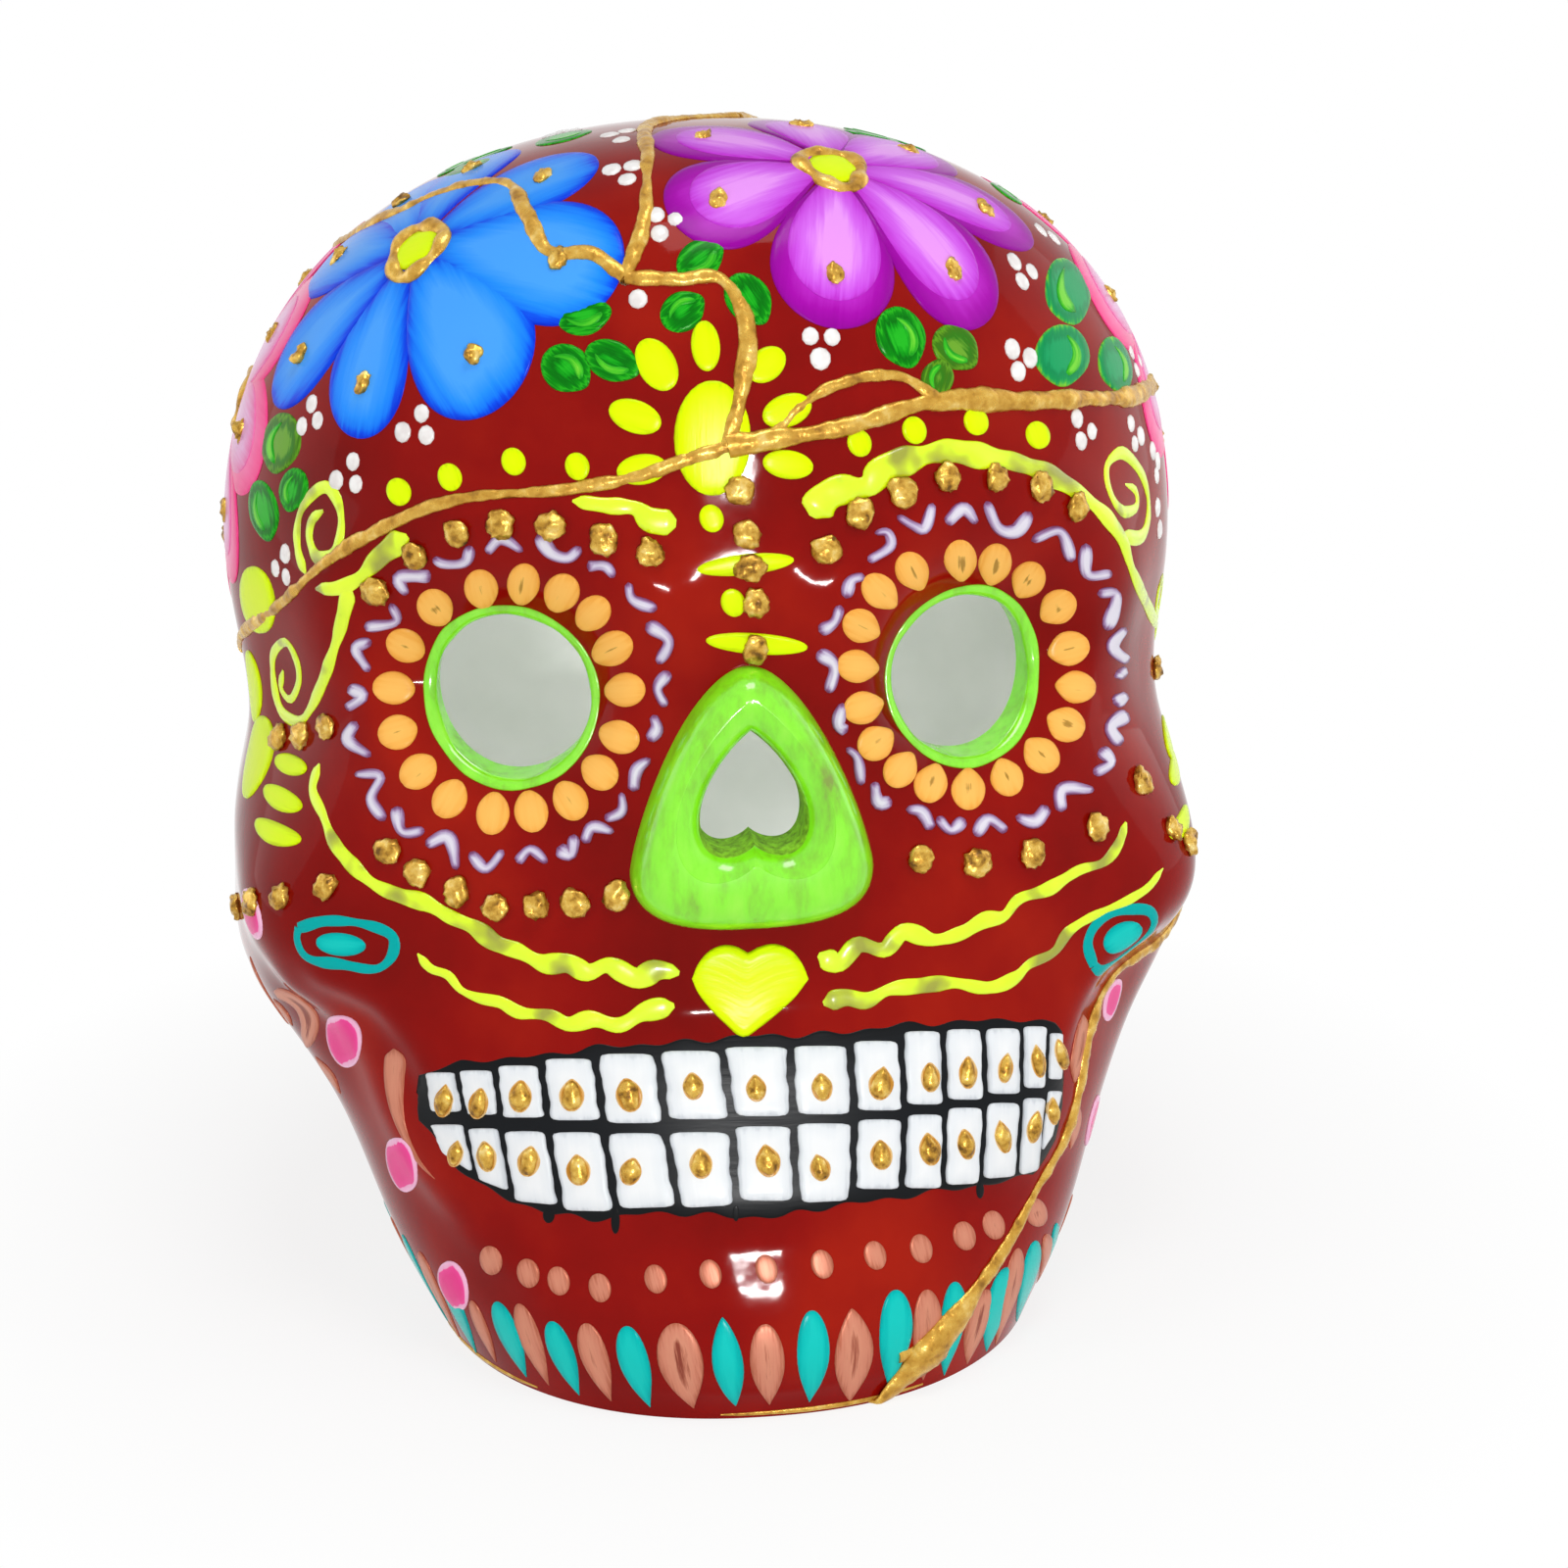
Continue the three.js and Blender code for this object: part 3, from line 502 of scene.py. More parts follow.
# Shards. The shell broke into eight pieces, and each kept its own stretch of glaze and painting.
# The break lines are directions from the heart of the skull: azimuth 0 is the face, in degrees.
KERF = 1.1
BREAK_DEPTH = 8.5
BREAK_STEP = 3.0
BREAK_EVENING = 5.0
SHARP_EDGE = np.radians(40)
JUNCTION, BROW_MIDDLE, CREST, REAR_MIDDLE = (-15, 49), (-2, 35), (45, 84), (-178, 8)
BREAKS = {
    "left_brow_seam": [BROW_MIDDLE, (-14, 32), (-24, 30), (-35, 28), (-48, 22), (-61, 14), (-85, 3)],
    "right_brow_seam": [BROW_MIDDLE, (13, 36), (24, 37), (40, 35), (60, 32), (74, 31), (88, 29)],
    "left_rear_seam": [(-85, 3), (-110, -2), (-135, 0), (-160, 6), REAR_MIDDLE],
    "right_rear_seam": [(88, 29), (112, 27), (135, 20), (158, 12), REAR_MIDDLE],
    "rear_crown_seam": [CREST, (165, 77), (-178, 62), (-172, 48), (-176, 30), REAR_MIDDLE],
    "crown_seam": [JUNCTION, (-13, 54), (-14, 62), (-20, 75), CREST],
    "forehead_seam": [JUNCTION, (-8, 49), (-2, 49), (1, 45), (0, 40), BROW_MIDDLE],
    "left_crown_seam": [JUNCTION, (-20, 51), (-26, 51), (-32, 55), (-40, 59), (-55, 58), (-64, 55), (-90, 50),
                        (-130, 49), (-172, 48)],
    "crest_seam": [CREST, (128, 76), (124, 56), (119, 40), (122, 24.5)],
    "brow_chip_seam": [(3, 35.4), (8, 38.5), (15, 40), (21, 39.5), (25.5, 37)],
    "jaw_seam": [(106, 27.5), (109, 8), (99, -10), (80, -22), (62, -27.5), (50, -29), (43, -32), (38, -38),
                 (29, -42), (20, -45), (11, -49), (5, -52)],
    "right_nape_seam": [(150, 14.8), (146, -5), (150, -30), (146, -50), (146, -76)],
    "left_nape_seam": [(-135, 0), (-138, -20), (-132, -40), (-136, -60), (-136, -77)],
    "jaw_spur_seam": [(19, -45.6), (16, -46), (13, -46)],
}
SHARDS = ("face_shard", "right_jaw_shard", "nape_shard", "left_forehead_shard", "left_crown_shard",
          "right_forehead_shard", "rear_crown_shard", "brow_chip_shard")


def through(points, per=24):
    """A smooth curve through the points, sampled."""
    p = np.asarray(points, float)
    p = np.vstack([2 * p[0] - p[1], p, 2 * p[-1] - p[-2]])
    t = np.linspace(0, 1, per, endpoint=False)[:, None]
    out = []
    for a, b, c, d in zip(p[:-3], p[1:-2], p[2:-1], p[3:]):
        ab, bc, cd = (max(np.sum((m - n) ** 2) ** 0.25, 1e-4) for m, n in ((a, b), (b, c), (c, d)))
        leave = ((b - a) / ab - (c - a) / (ab + bc) + (c - b) / bc) * bc
        arrive = ((c - b) / bc - (d - b) / (bc + cd) + (d - c) / cd) * bc
        out.append((2 * t**3 - 3 * t**2 + 1) * b + (t**3 - 2 * t**2 + t) * leave
                   + (3 * t**2 - 2 * t**3) * c + (t**3 - t**2) * arrive)
    return np.vstack(out + [p[-2:-1]])


def evenly(points, step):
    """The same line with points at an even step."""
    run = np.concatenate([[0.0], np.cumsum(np.linalg.norm(np.diff(points, axis=0), axis=1))])
    at = np.linspace(0, run[-1], max(3, int(np.ceil(run[-1] / step)) + 1))
    return np.column_stack([np.interp(at, run, points[:, k]) for k in range(points.shape[1])])


def unit(pairs):
    """Directions from the heart, given as azimuth and elevation in degrees."""
    a, e = np.radians(np.asarray(pairs, float)).T
    return np.column_stack([np.sin(a) * np.cos(e), -np.cos(a) * np.cos(e), np.sin(e)])


def averaged(values, reach):
    """Each row averaged with its neighbours along the line, then made a unit vector again."""
    padded = np.pad(values, ((reach, reach), (0, 0)), mode="edge")
    mean = sum(padded[k:k + len(values)] for k in range(2 * reach + 1))
    return mean / np.linalg.norm(mean, axis=1, keepdims=True)


def laid_on_glaze(pairs, step):
    """Places and outward normals along a break at an even step."""
    ways = through(unit(pairs))
    line = evenly(from_heart(ways / np.linalg.norm(ways, axis=1, keepdims=True))[0], step)
    places, normals = from_heart((line - HEART) / np.linalg.norm(line - HEART, axis=1, keepdims=True))
    return places, averaged(normals, max(2, int(round(BREAK_EVENING / step))))


saws = []
for name, pairs in BREAKS.items():
    places, normals = laid_on_glaze(pairs, BREAK_STEP)
    ahead = averaged(np.gradient(places, axis=0), 1)
    normals -= ahead * np.sum(normals * ahead, axis=1, keepdims=True)
    normals /= np.linalg.norm(normals, axis=1, keepdims=True)
    across = np.cross(normals, ahead)
    places[0] -= ahead[0] * KERF
    places[-1] += ahead[-1] * KERF
    rings = np.stack([places + across * a + normals * o for a, o in (
        (-KERF / 2, -BREAK_DEPTH), (KERF / 2, -BREAK_DEPTH), (KERF / 2, WALL), (-KERF / 2, WALL))], axis=1)
    points, faces = tube(rings)
    saws.append(add_object(name + "_saw", points, faces, finishes=FINISHES, finish=BROKEN))
carve(shell, saws, "DIFFERENCE")

bpy.ops.object.select_all(action="DESELECT")
shell.select_set(True)
bpy.context.view_layer.objects.active = shell
before = set(bpy.data.objects) - {shell}
bpy.ops.mesh.separate(type="LOOSE")
loose = [o for o in bpy.data.objects if o not in before]
spans = {o: np.array([o.bound_box[0], o.bound_box[6]]) for o in loose}
for name in SHARDS:
    wanted = np.array([list(corner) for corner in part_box(name)])
    shard = min(loose, key=lambda o: np.abs(spans[o] - wanted).sum())
    loose.remove(shard)
    shard.name = shard.data.name = "glazed_" + name
    shard.data.set_sharp_from_angle(angle=SHARP_EDGE)
    trim(shard)
    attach(shard, "root")
    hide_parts(name)
for crumb in loose:
    bpy.data.meshes.remove(crumb.data)


# Gold seams. Two-part resin mixed with bronze powder was pressed into each break and stands proud of the
# glaze in a lumpy bead, drawn along by hand with a small spatula.
BEAD_HALVES = {"left_brow_seam": 0.88, "right_brow_seam": 1.4, "forehead_seam": 1.12, "jaw_seam": 1.15,
               "brow_chip_seam": 0.85, "jaw_spur_seam": 1.1}
BEAD_HALF = 1.05
JAW_LUMP, JAW_LUMP_AT, JAW_LUMP_SPREAD = 1.5, 0.9, 0.05
WEB_WIDTH, WEB_DEPTH = 0.9, 3.5
BEAD_STEP = 0.5
BEAD_RISE, BEAD_LUMP, BEAD_LUMP_SIZE = 0.62, 0.95, 2.6
BEAD_RING_STEPS, BEAD_UNDERSIDE = 18, 0.16
# How a bead's width wavers: share of the width, length in millimetres, and phase from seam to seam.
BEAD_WAVES = ((0.16, 6.7, 1.7), (0.13, 2.9, 1.0), (0.08, 1.3, 2.0))

# Bronze-gold resin, one recipe in two states: pressed smooth along the breaks, and pinched off in
# crumpled dabs. Its colour runs over noise of the given size in millimetres from brown painted shade to
# pale painted highlights, and it is glossier where it is brighter.
def bronze(name, stops, fold, metallic, relief):
    made, tree = new_material(name)
    where = node(tree, "ShaderNodeTexCoord", {}).outputs["Object"]
    painted_sheen = node(tree, "ShaderNodeTexNoise", {"Vector": where, "Scale": 1 / (fold * MM), "Detail": 4.0,
                                              "Roughness": 0.6}).outputs["Fac"]
    # Painted highlight and painted shade: pale gold and brown laid over the noise as colour.
    ramp = node(tree, "ShaderNodeValToRGB", {"Fac": painted_sheen})
    set_stops(ramp, stops)
    grain = node(tree, "ShaderNodeTexNoise", {
        "Vector": where, "Scale": 2 / (fold * MM), "Detail": 3.0}).outputs["Fac"]
    bump = node(tree, "ShaderNodeBump", {
        "Height": grain, "Strength": relief, "Distance": 0.3 * MM}).outputs["Normal"]
    gloss = node(tree, "ShaderNodeMapRange", {
        "Value": painted_sheen, "To Min": 0.4, "To Max": 0.16}).outputs["Result"]
    skinned = node(tree, "ShaderNodeBsdfPrincipled", {
        "Base Color": ramp.outputs["Color"], "Roughness": gloss, "Metallic": metallic, "Normal": bump})
    node(tree, "ShaderNodeOutputMaterial", {"Surface": skinned.outputs["BSDF"]})
    return made


# Along the breaks: stops from brown painted shade to pale painted highlight.
gold_resin = bronze("bronze_gold_resin", [
    (0.28, "#8E621A"), (0.42, "#BE8C2C"), (0.58, "#D8AC48"), (0.8, "#F6DC8E")], 2.4, 0.5, 0.5)


def new_geometry_tree(name, inputs):
    """A geometry tree with named inputs; returns it with its group input and the inputs' identifiers."""
    made = bpy.data.node_groups.new(name, "GeometryNodeTree")
    made.interface.new_socket("Geometry", in_out="INPUT", socket_type="NodeSocketGeometry")
    made.interface.new_socket("Geometry", in_out="OUTPUT", socket_type="NodeSocketGeometry")
    keys = {}
    for key, kind in inputs.items():
        keys[key] = made.interface.new_socket(key, in_out="INPUT", socket_type="NodeSocket" + kind).identifier
    return made, node(made, "NodeGroupInput", {}), keys


def run_tree(made, tree, keys, values):
    """Runs a geometry tree on an object and keeps the result as its plain mesh."""
    step = made.modifiers.new(tree.name, "NODES")
    step.node_group = tree
    for key, value in values.items():
        step[keys[key]] = value
    made.update_tag()
    make_plain(made)


# A bead drawn along lines: each point of a line carries its outward normal and its half width.
bead_tree, group, BEAD_KEYS = new_geometry_tree("drawn_bead", {
    "Rise": "Float", "Lump": "Float", "Lump Size": "Float", "Seed": "Float", "Web Width": "Float",
    "Web Depth": "Float", "Material": "Material"})
t = bead_tree
out = node(t, "GeometryNodeInputNamedAttribute", {"Name": "out"},
           data_type="FLOAT_VECTOR").outputs["Attribute"]
half = node(t, "GeometryNodeInputNamedAttribute", {"Name": "half"}, data_type="FLOAT").outputs["Attribute"]
line = node(t, "GeometryNodeMeshToCurve", {"Mesh": group.outputs["Geometry"]}).outputs["Curve"]
line = node(t, "GeometryNodeSetCurveNormal", {"Curve": line, "Normal": out}, mode="FREE").outputs["Curve"]
ring = node(t, "GeometryNodeCurvePrimitiveCircle", {
    "Resolution": BEAD_RING_STEPS, "Radius": 1.0}).outputs["Curve"]
spot = node(t, "ShaderNodeSeparateXYZ", {0: node(t, "GeometryNodeInputPosition", {}).outputs[0]})
upper = node(t, "ShaderNodeMath", {0: spot.outputs["X"], 1: 0.0}, operation="MAXIMUM").outputs[0]
lower = node(t, "ShaderNodeMath", {0: spot.outputs["X"], 1: 0.0}, operation="MINIMUM").outputs[0]
upper = node(t, "ShaderNodeMath", {0: upper, 1: group.outputs["Rise"]}, operation="MULTIPLY").outputs[0]
tall = node(t, "ShaderNodeMath", {0: lower, 1: BEAD_UNDERSIDE, 2: upper},
            operation="MULTIPLY_ADD").outputs[0]
flat = node(t, "ShaderNodeCombineXYZ", {"X": tall, "Y": spot.outputs["Y"]}).outputs[0]
ring = node(t, "GeometryNodeSetPosition", {"Geometry": ring, "Position": flat}).outputs["Geometry"]
bead = node(t, "GeometryNodeCurveToMesh", {"Curve": line, "Profile Curve": ring, "Scale": half,
                                           "Fill Caps": True}).outputs["Mesh"]
place = node(t, "GeometryNodeInputPosition", {}).outputs[0]
moved = node(t, "ShaderNodeVectorMath", {0: place, 1: node(t, "ShaderNodeCombineXYZ", {
    "X": group.outputs["Seed"]}).outputs[0]}, operation="ADD").outputs[0]
pitch = node(t, "ShaderNodeMath", {0: 1.0, 1: group.outputs["Lump Size"]}, operation="DIVIDE").outputs[0]
lumps = node(t, "ShaderNodeTexNoise", {"Vector": moved, "Scale": pitch, "Detail": 3.0,
                                       "Roughness": 0.6}).outputs["Fac"]
lumps = node(t, "ShaderNodeMath", {0: lumps, 1: 0.5}, operation="SUBTRACT").outputs[0]
lumps = node(t, "ShaderNodeMath", {0: lumps, 1: group.outputs["Lump"]}, operation="MULTIPLY").outputs[0]
push = node(t, "ShaderNodeVectorMath", {0: node(t, "GeometryNodeInputNormal", {}).outputs[0], "Scale": lumps},
            operation="SCALE").outputs[0]
bead = node(t, "GeometryNodeSetPosition", {"Geometry": bead, "Offset": push}).outputs["Geometry"]
slot = node(t, "GeometryNodeCurvePrimitiveQuadrilateral", {
    "Width": group.outputs["Web Depth"], "Height": group.outputs["Web Width"]}).outputs["Curve"]
low = node(t, "ShaderNodeMath", {0: group.outputs["Web Depth"], 1: -0.5}, operation="MULTIPLY").outputs[0]
slot = node(t, "GeometryNodeSetPosition", {"Geometry": slot, "Offset": node(
    t, "ShaderNodeCombineXYZ", {"X": low}).outputs[0]}).outputs["Geometry"]
web = node(t, "GeometryNodeCurveToMesh", {
    "Curve": line, "Profile Curve": slot, "Fill Caps": True}).outputs["Mesh"]
deep = node(t, "FunctionNodeCompare", {0: group.outputs["Web Depth"], 1: 0.0}, operation="GREATER_THAN",
            data_type="FLOAT").outputs[0]
web = node(t, "GeometryNodeSwitch", {"Switch": deep, "True": web}, input_type="GEOMETRY").outputs[0]
both = node(t, "GeometryNodeJoinGeometry", {"Geometry": bead})
t.links.new(web, both.inputs["Geometry"])
whole = node(t, "GeometryNodeSetShadeSmooth", {"Geometry": both.outputs["Geometry"]}).outputs["Geometry"]
whole = node(t, "GeometryNodeRealizeInstances", {"Geometry": whole}).outputs["Geometry"]
whole = node(t, "GeometryNodeSetMaterial", {
    "Geometry": whole, "Material": group.outputs["Material"]}).outputs[0]
node(t, "NodeGroupOutput", {"Geometry": whole})


def draw_bead(name, lines, material, rise, lump=0.0, lump_size=3.0, seed=0.0, web=(0.0, 0.0)):
    """One object of beads along lines; a line is (places, normals, half widths) in millimetres."""
    places = np.vstack([line[0] for line in lines])
    starts = np.cumsum([0] + [len(line[0]) for line in lines])
    edges = [(k, k + 1) for a, b in zip(starts[:-1], starts[1:]) for k in range(a, b - 1)]
    made = add_object(name, places, [], edges=edges)
    normals = made.data.attributes.new("out", "FLOAT_VECTOR", "POINT")
    normals.data.foreach_set("vector", np.vstack([line[1] for line in lines]).ravel())
    widths = made.data.attributes.new("half", "FLOAT", "POINT")
    widths.data.foreach_set("value", np.concatenate([line[2] for line in lines]) * MM)
    run_tree(made, bead_tree, BEAD_KEYS, {
        "Rise": rise, "Lump": lump * MM, "Lump Size": lump_size * MM, "Seed": float(seed),
        "Web Width": web[0] * MM, "Web Depth": web[1] * MM, "Material": material})
    trim(made)
    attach(made, "root")
    return made


for seed, (name, pairs) in enumerate(BREAKS.items()):
    places, normals = laid_on_glaze(pairs, BEAD_STEP)
    at = np.linspace(0, 1, len(places))
    half = np.full(len(places), BEAD_HALVES.get(name, BEAD_HALF))
    if name == "jaw_seam":
        half += JAW_LUMP * np.exp(-((at - JAW_LUMP_AT) / JAW_LUMP_SPREAD) ** 2)
    run = at * len(at) * BEAD_STEP
    half *= 1 + sum(share * np.sin(run / long + phase * seed) for share, long, phase in BEAD_WAVES)
    bead = draw_bead("gold_" + name, [(places, normals, half)], gold_resin, BEAD_RISE, BEAD_LUMP,
                     BEAD_LUMP_SIZE, seed, (WEB_WIDTH, WEB_DEPTH))
    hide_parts(name)


# Flowers. Folk flowers brushed in acrylic on the glaze: broad petals, dark at the rim and streaked paler
# towards the middle. A blue and a purple one cover the forehead, pink ones the temples, and more go round.
PAINT = 0.22
EASE = 3.0
# A film of paint rises to its thickness over a narrow edge. Its rim is tucked into the glaze, its underside
# lies in it, and strokes that cross lie at slightly different heights. All in millimetres but the share.
FILM_EDGE, FILM_EDGE_SHARE, FILM_BLUNT = 0.9, 0.25, 0.05
FILM_TUCK, FILM_UNDER, FILM_STAGGER = 0.06, 0.25, 0.025
FILM_SHEET = 10.0
# Bristle streaks: how many times longer than wide, how far they swing, and how far strokes are set apart.
STREAK_LENGTH, STREAK_SWING, STREAK_SHIFT = 14, 4.0, 40.0


def seen(pixels):
    """Where points of the picture, in its 1600 x 1600 pixels, lie on the glaze."""
    p = np.asarray(pixels, float)
    ways = (((p[:, 0] - PICTURE / 2) / FOCAL_PIXELS)[:, None] * view_right
            + ((PICTURE / 2 - p[:, 1]) / FOCAL_PIXELS)[:, None] * view_up - view_back)
    return cast(view_place, ways)


def eased(middle):
    """A sheet of picture pixels round one of them, laid on the glaze there. Where the glaze turns away from
    the eye, the sheet is stretched at most EASE times, so what lies on it keeps its shape from the side."""
    spot, normal = (found[0] for found in seen([middle]))
    facing = (view_place - spot) / np.linalg.norm(view_place - spot)
    level = np.cross(normal, facing)
    level /= np.linalg.norm(level)
    slope = np.cross(normal, level)
    apart = np.cross(facing, level)
    stretch = np.sign(slope @ apart) / max(normal @ facing, 1 / EASE)
    scale = (spot - view_place) @ -view_back / FOCAL_PIXELS

    def place(sheet):
        moved = (sheet - np.asarray(middle)) * scale
        moved = moved[:, :1] * view_right - moved[:, 1:] * view_up
        flat = (moved @ level)[:, None] * level + (moved @ apart * stretch)[:, None] * slope
        return from_heart(spot + flat - HEART)

    return place


def wrapped(azimuth, elevation):
    """A sheet of millimetres, right and up, wrapped on the glaze round a direction from the heart."""
    ahead = unit([(azimuth, elevation)])[0]
    reach = np.linalg.norm(from_heart(ahead[None])[0][0] - HEART)
    right = np.cross([0.0, 0.0, 1.0], ahead)
    right /= np.linalg.norm(right)
    up = np.cross(ahead, right)

    def place(sheet):
        far = np.linalg.norm(sheet, axis=1, keepdims=True)
        way = sheet / np.maximum(far, 1e-9)
        turn = far / reach
        return from_heart(np.cos(turn) * ahead + np.sin(turn) * (way[:, :1] * right + way[:, 1:] * up))

    return place


def polar(angle, far):
    """A place on a sheet, given as an angle in degrees and how far from its middle."""
    return np.array([np.cos(np.radians(angle)), np.sin(np.radians(angle))]) * far


def brush(name, strokes, material, thick=PAINT, cross=9, bed=0.0, domed=4.0):
    """One object of paint films laid on the glaze. A stroke is (place, path, half widths): place turns a
    sheet into points and normals, and the film is widest where the half width is."""
    s = np.sin(np.linspace(-np.pi / 2, np.pi / 2, cross))
    points, faces, edge, tone, sheet = [], [], [], [], []
    start = 0
    rng = np.random.default_rng(len(strokes) * 7 + cross)
    for order, (place, path, half) in enumerate(strokes):
        along = np.gradient(path, axis=0)
        along /= np.maximum(np.linalg.norm(along, axis=1, keepdims=True), 1e-9)
        side = np.column_stack([-along[:, 1], along[:, 0]])
        rows = path[1:-1, None] + side[1:-1, None] * (half[1:-1, None] * s)[..., None]
        flat = np.vstack([rows.reshape(-1, 2), path[:1], path[-1:]])
        places, normals = place(flat)
        count = len(path) - 2
        grid = places[:-2].reshape(count, cross, 3)
        middle = grid[:, cross // 2]
        run = np.concatenate([[0.0], np.cumsum(np.linalg.norm(np.diff(middle, axis=0), axis=1))])
        wide = np.linalg.norm(grid[:, -1] - grid[:, 0], axis=1) / 2
        inner = (1 - np.abs(s)) * wide[:, None]
        ends = np.minimum(run, run[-1] - run)[:, None] + np.zeros(cross)
        film = np.minimum(inner, ends + FILM_BLUNT)
        rise = np.minimum(1.0, film / max(FILM_EDGE, FILM_EDGE_SHARE * wide.max())) ** (1 / domed)
        rise = np.append((rise * (np.abs(s) < 1)).ravel(), [0.0, 0.0])
        level = bed + FILM_STAGGER * (order % 3)
        upper = places + normals * (thick * rise + level - FILM_TUCK * (rise == 0))[:, None]
        lower = places - normals * FILM_UNDER
        bank = len(places)
        points += [upper, lower[:-2].reshape(count, cross, 3)[:, 1:-1].reshape(-1, 3)]
        mm = np.append(film.ravel(), [0.0, 0.0])
        edge += [mm, np.zeros(count * (cross - 2))]
        tone += [np.full(bank + count * (cross - 2), rng.random())]
        uv = np.column_stack([np.append((wide[:, None] * s).ravel(), [0, 0]),
                              np.append((run[:, None] + np.zeros(cross)).ravel(), [0, run[-1]])])
        sheet += [uv, np.zeros((count * (cross - 2), 2))]

        def under(k, i):
            if i in (0, cross - 1):
                return start + k * cross + i
            return start + bank + k * (cross - 2) + i - 1

        tip, tail = start + count * cross, start + count * cross + 1
        for k in range(count - 1):
            for i in range(cross - 1):
                a = start + k * cross + i
                faces.append((a, a + cross, a + cross + 1, a + 1))
                faces.append((under(k, i), under(k, i + 1), under(k + 1, i + 1), under(k + 1, i)))
        for i in range(cross - 1):
            a = start + i
            faces.append((tip, a, a + 1))
            faces.append((tip, under(0, i + 1), under(0, i)))
            a = start + (count - 1) * cross + i
            faces.append((tail, a + 1, a))
            faces.append((tail, under(count - 1, i), under(count - 1, i + 1)))
        start += bank + count * (cross - 2)
    points = np.vstack(points)
    first = faces[0]
    facing = np.cross(points[first[1]] - points[first[0]], points[first[3]] - points[first[0]])
    if np.dot(facing, points[first[0]] - HEART) < 0:
        faces = [f[::-1] for f in faces]
    made = add_object(name, points, faces, finishes=[material])
    for key, values in (("edge", np.concatenate(edge)), ("tone", np.concatenate(tone))):
        made.data.attributes.new(key, "FLOAT", "POINT").data.foreach_set("value", values)
    corners = np.zeros(len(made.data.loops), np.int32)
    made.data.loops.foreach_get("vertex_index", corners)
    laid = made.data.uv_layers.new(name="brushed")
    laid.data.foreach_set("uv", (np.vstack(sheet)[corners] / FILM_SHEET).ravel())
    trim(made)
    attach(made, "root")
    return made


def paint(name, stops, reach, streak=0.7, pull=1.0, roughness=0.2, metallic=0.0, ior=1.18):
    """Acrylic under varnish. stops run from the rim to the middle of a stroke over reach millimetres;
    bristle streaks along the stroke, streak millimetres apart, pull the colours by pull millimetres."""
    made, tree = new_material(name)
    rim = node(tree, "ShaderNodeAttribute", {}, attribute_name="edge").outputs["Fac"]
    one = node(tree, "ShaderNodeAttribute", {}, attribute_name="tone").outputs["Fac"]
    laid = node(tree, "ShaderNodeUVMap", {}, uv_map="brushed").outputs["UV"]
    drawn = node(tree, "ShaderNodeMapping", {"Vector": laid, "Scale": (
        FILM_SHEET / streak, FILM_SHEET / (streak * STREAK_LENGTH), 1.0)}).outputs[0]
    offset = node(tree, "ShaderNodeCombineXYZ", {"Z": one}).outputs[0]
    offset = node(tree, "ShaderNodeVectorMath", {0: offset, "Scale": STREAK_SHIFT},
                  operation="SCALE").outputs[0]
    drawn = node(tree, "ShaderNodeVectorMath", {0: drawn, 1: offset}, operation="ADD").outputs[0]
    bristle = node(tree, "ShaderNodeTexNoise", {"Vector": drawn, "Scale": 1.0, "Detail": 3.0,
                                                "Roughness": 0.6}).outputs["Fac"]
    swing = node(tree, "ShaderNodeMath", {0: bristle, 1: 0.5}, operation="SUBTRACT").outputs[0]
    moved = node(tree, "ShaderNodeMath", {0: swing, 1: STREAK_SWING * pull, 2: rim},
                 operation="MULTIPLY_ADD").outputs[0]
    share = node(tree, "ShaderNodeMath", {0: moved, 1: reach}, operation="DIVIDE", use_clamp=True).outputs[0]
    ramp = node(tree, "ShaderNodeValToRGB", {"Fac": share})
    set_stops(ramp, stops)
    bump = node(tree, "ShaderNodeBump", {
        "Height": bristle, "Strength": 0.25, "Distance": 0.12 * MM}).outputs["Normal"]
    skinned = node(tree, "ShaderNodeBsdfPrincipled", {
        "Base Color": ramp.outputs["Color"], "Roughness": roughness, "Metallic": metallic, "Normal": bump,
        "IOR": ior})
    node(tree, "ShaderNodeOutputMaterial", {"Surface": skinned.outputs["BSDF"]})
    return made


def petal(place, angle, far, half, start=3.0, broad=0.66):
    """A petal from near the flower's middle to its tip, broad and round at the end."""
    t = np.sin(np.linspace(0, np.pi / 2, 30)) ** 1.2
    wide = np.where(t < broad, 0.2 + 0.8 * np.sin(np.pi / 2 * np.minimum(t / broad, 1)) ** 1.2,
                    np.sqrt(np.maximum(0, 1 - (np.maximum(t - broad, 0) / (1 - broad)) ** 2)))
    path = polar(angle, 1.0)[None] * (start + (far - start) * t)[:, None]
    return place, path, half * wide


# Flowers: direction of the middle, then petals as angle, length and half width in millimetres.
FLOWERS = {
    "blue": ((-48.7, 50.4), [(143, 28, 8), (107, 28, 8), (178, 31, 8), (52, 28.5, 7.5), (9, 33.5, 9.5),
                             (-137, 34.5, 7.6), (-93, 28.5, 8), (-36, 29.5, 10.5)]),
    "purple": ((19.9, 60.1), [(76, 26, 8.5), (26, 29, 8.5), (135, 27.5, 8), (-15, 34.5, 7.4),
                              (-172, 26.5, 8.5), (-56, 31.5, 8.5), (-111, 26.5, 9.5)]),
    "left_pink": ((-94.5, 30), [(k * 40 + 1, 34, 9.0) for k in range(9)]),
    "right_pink": ((91.7, 38), [(k * 40 + 1, 36, 9.4) for k in range(9)]),
    "rear_blue": ((168, 36), [(k * 51.4, 26, 8.6) for k in range(7)]),
    "rear_purple": ((-146, 28), [(k * 51.4 + 20, 25, 8.4) for k in range(7)]),
}
PETAL_CROSS = 13
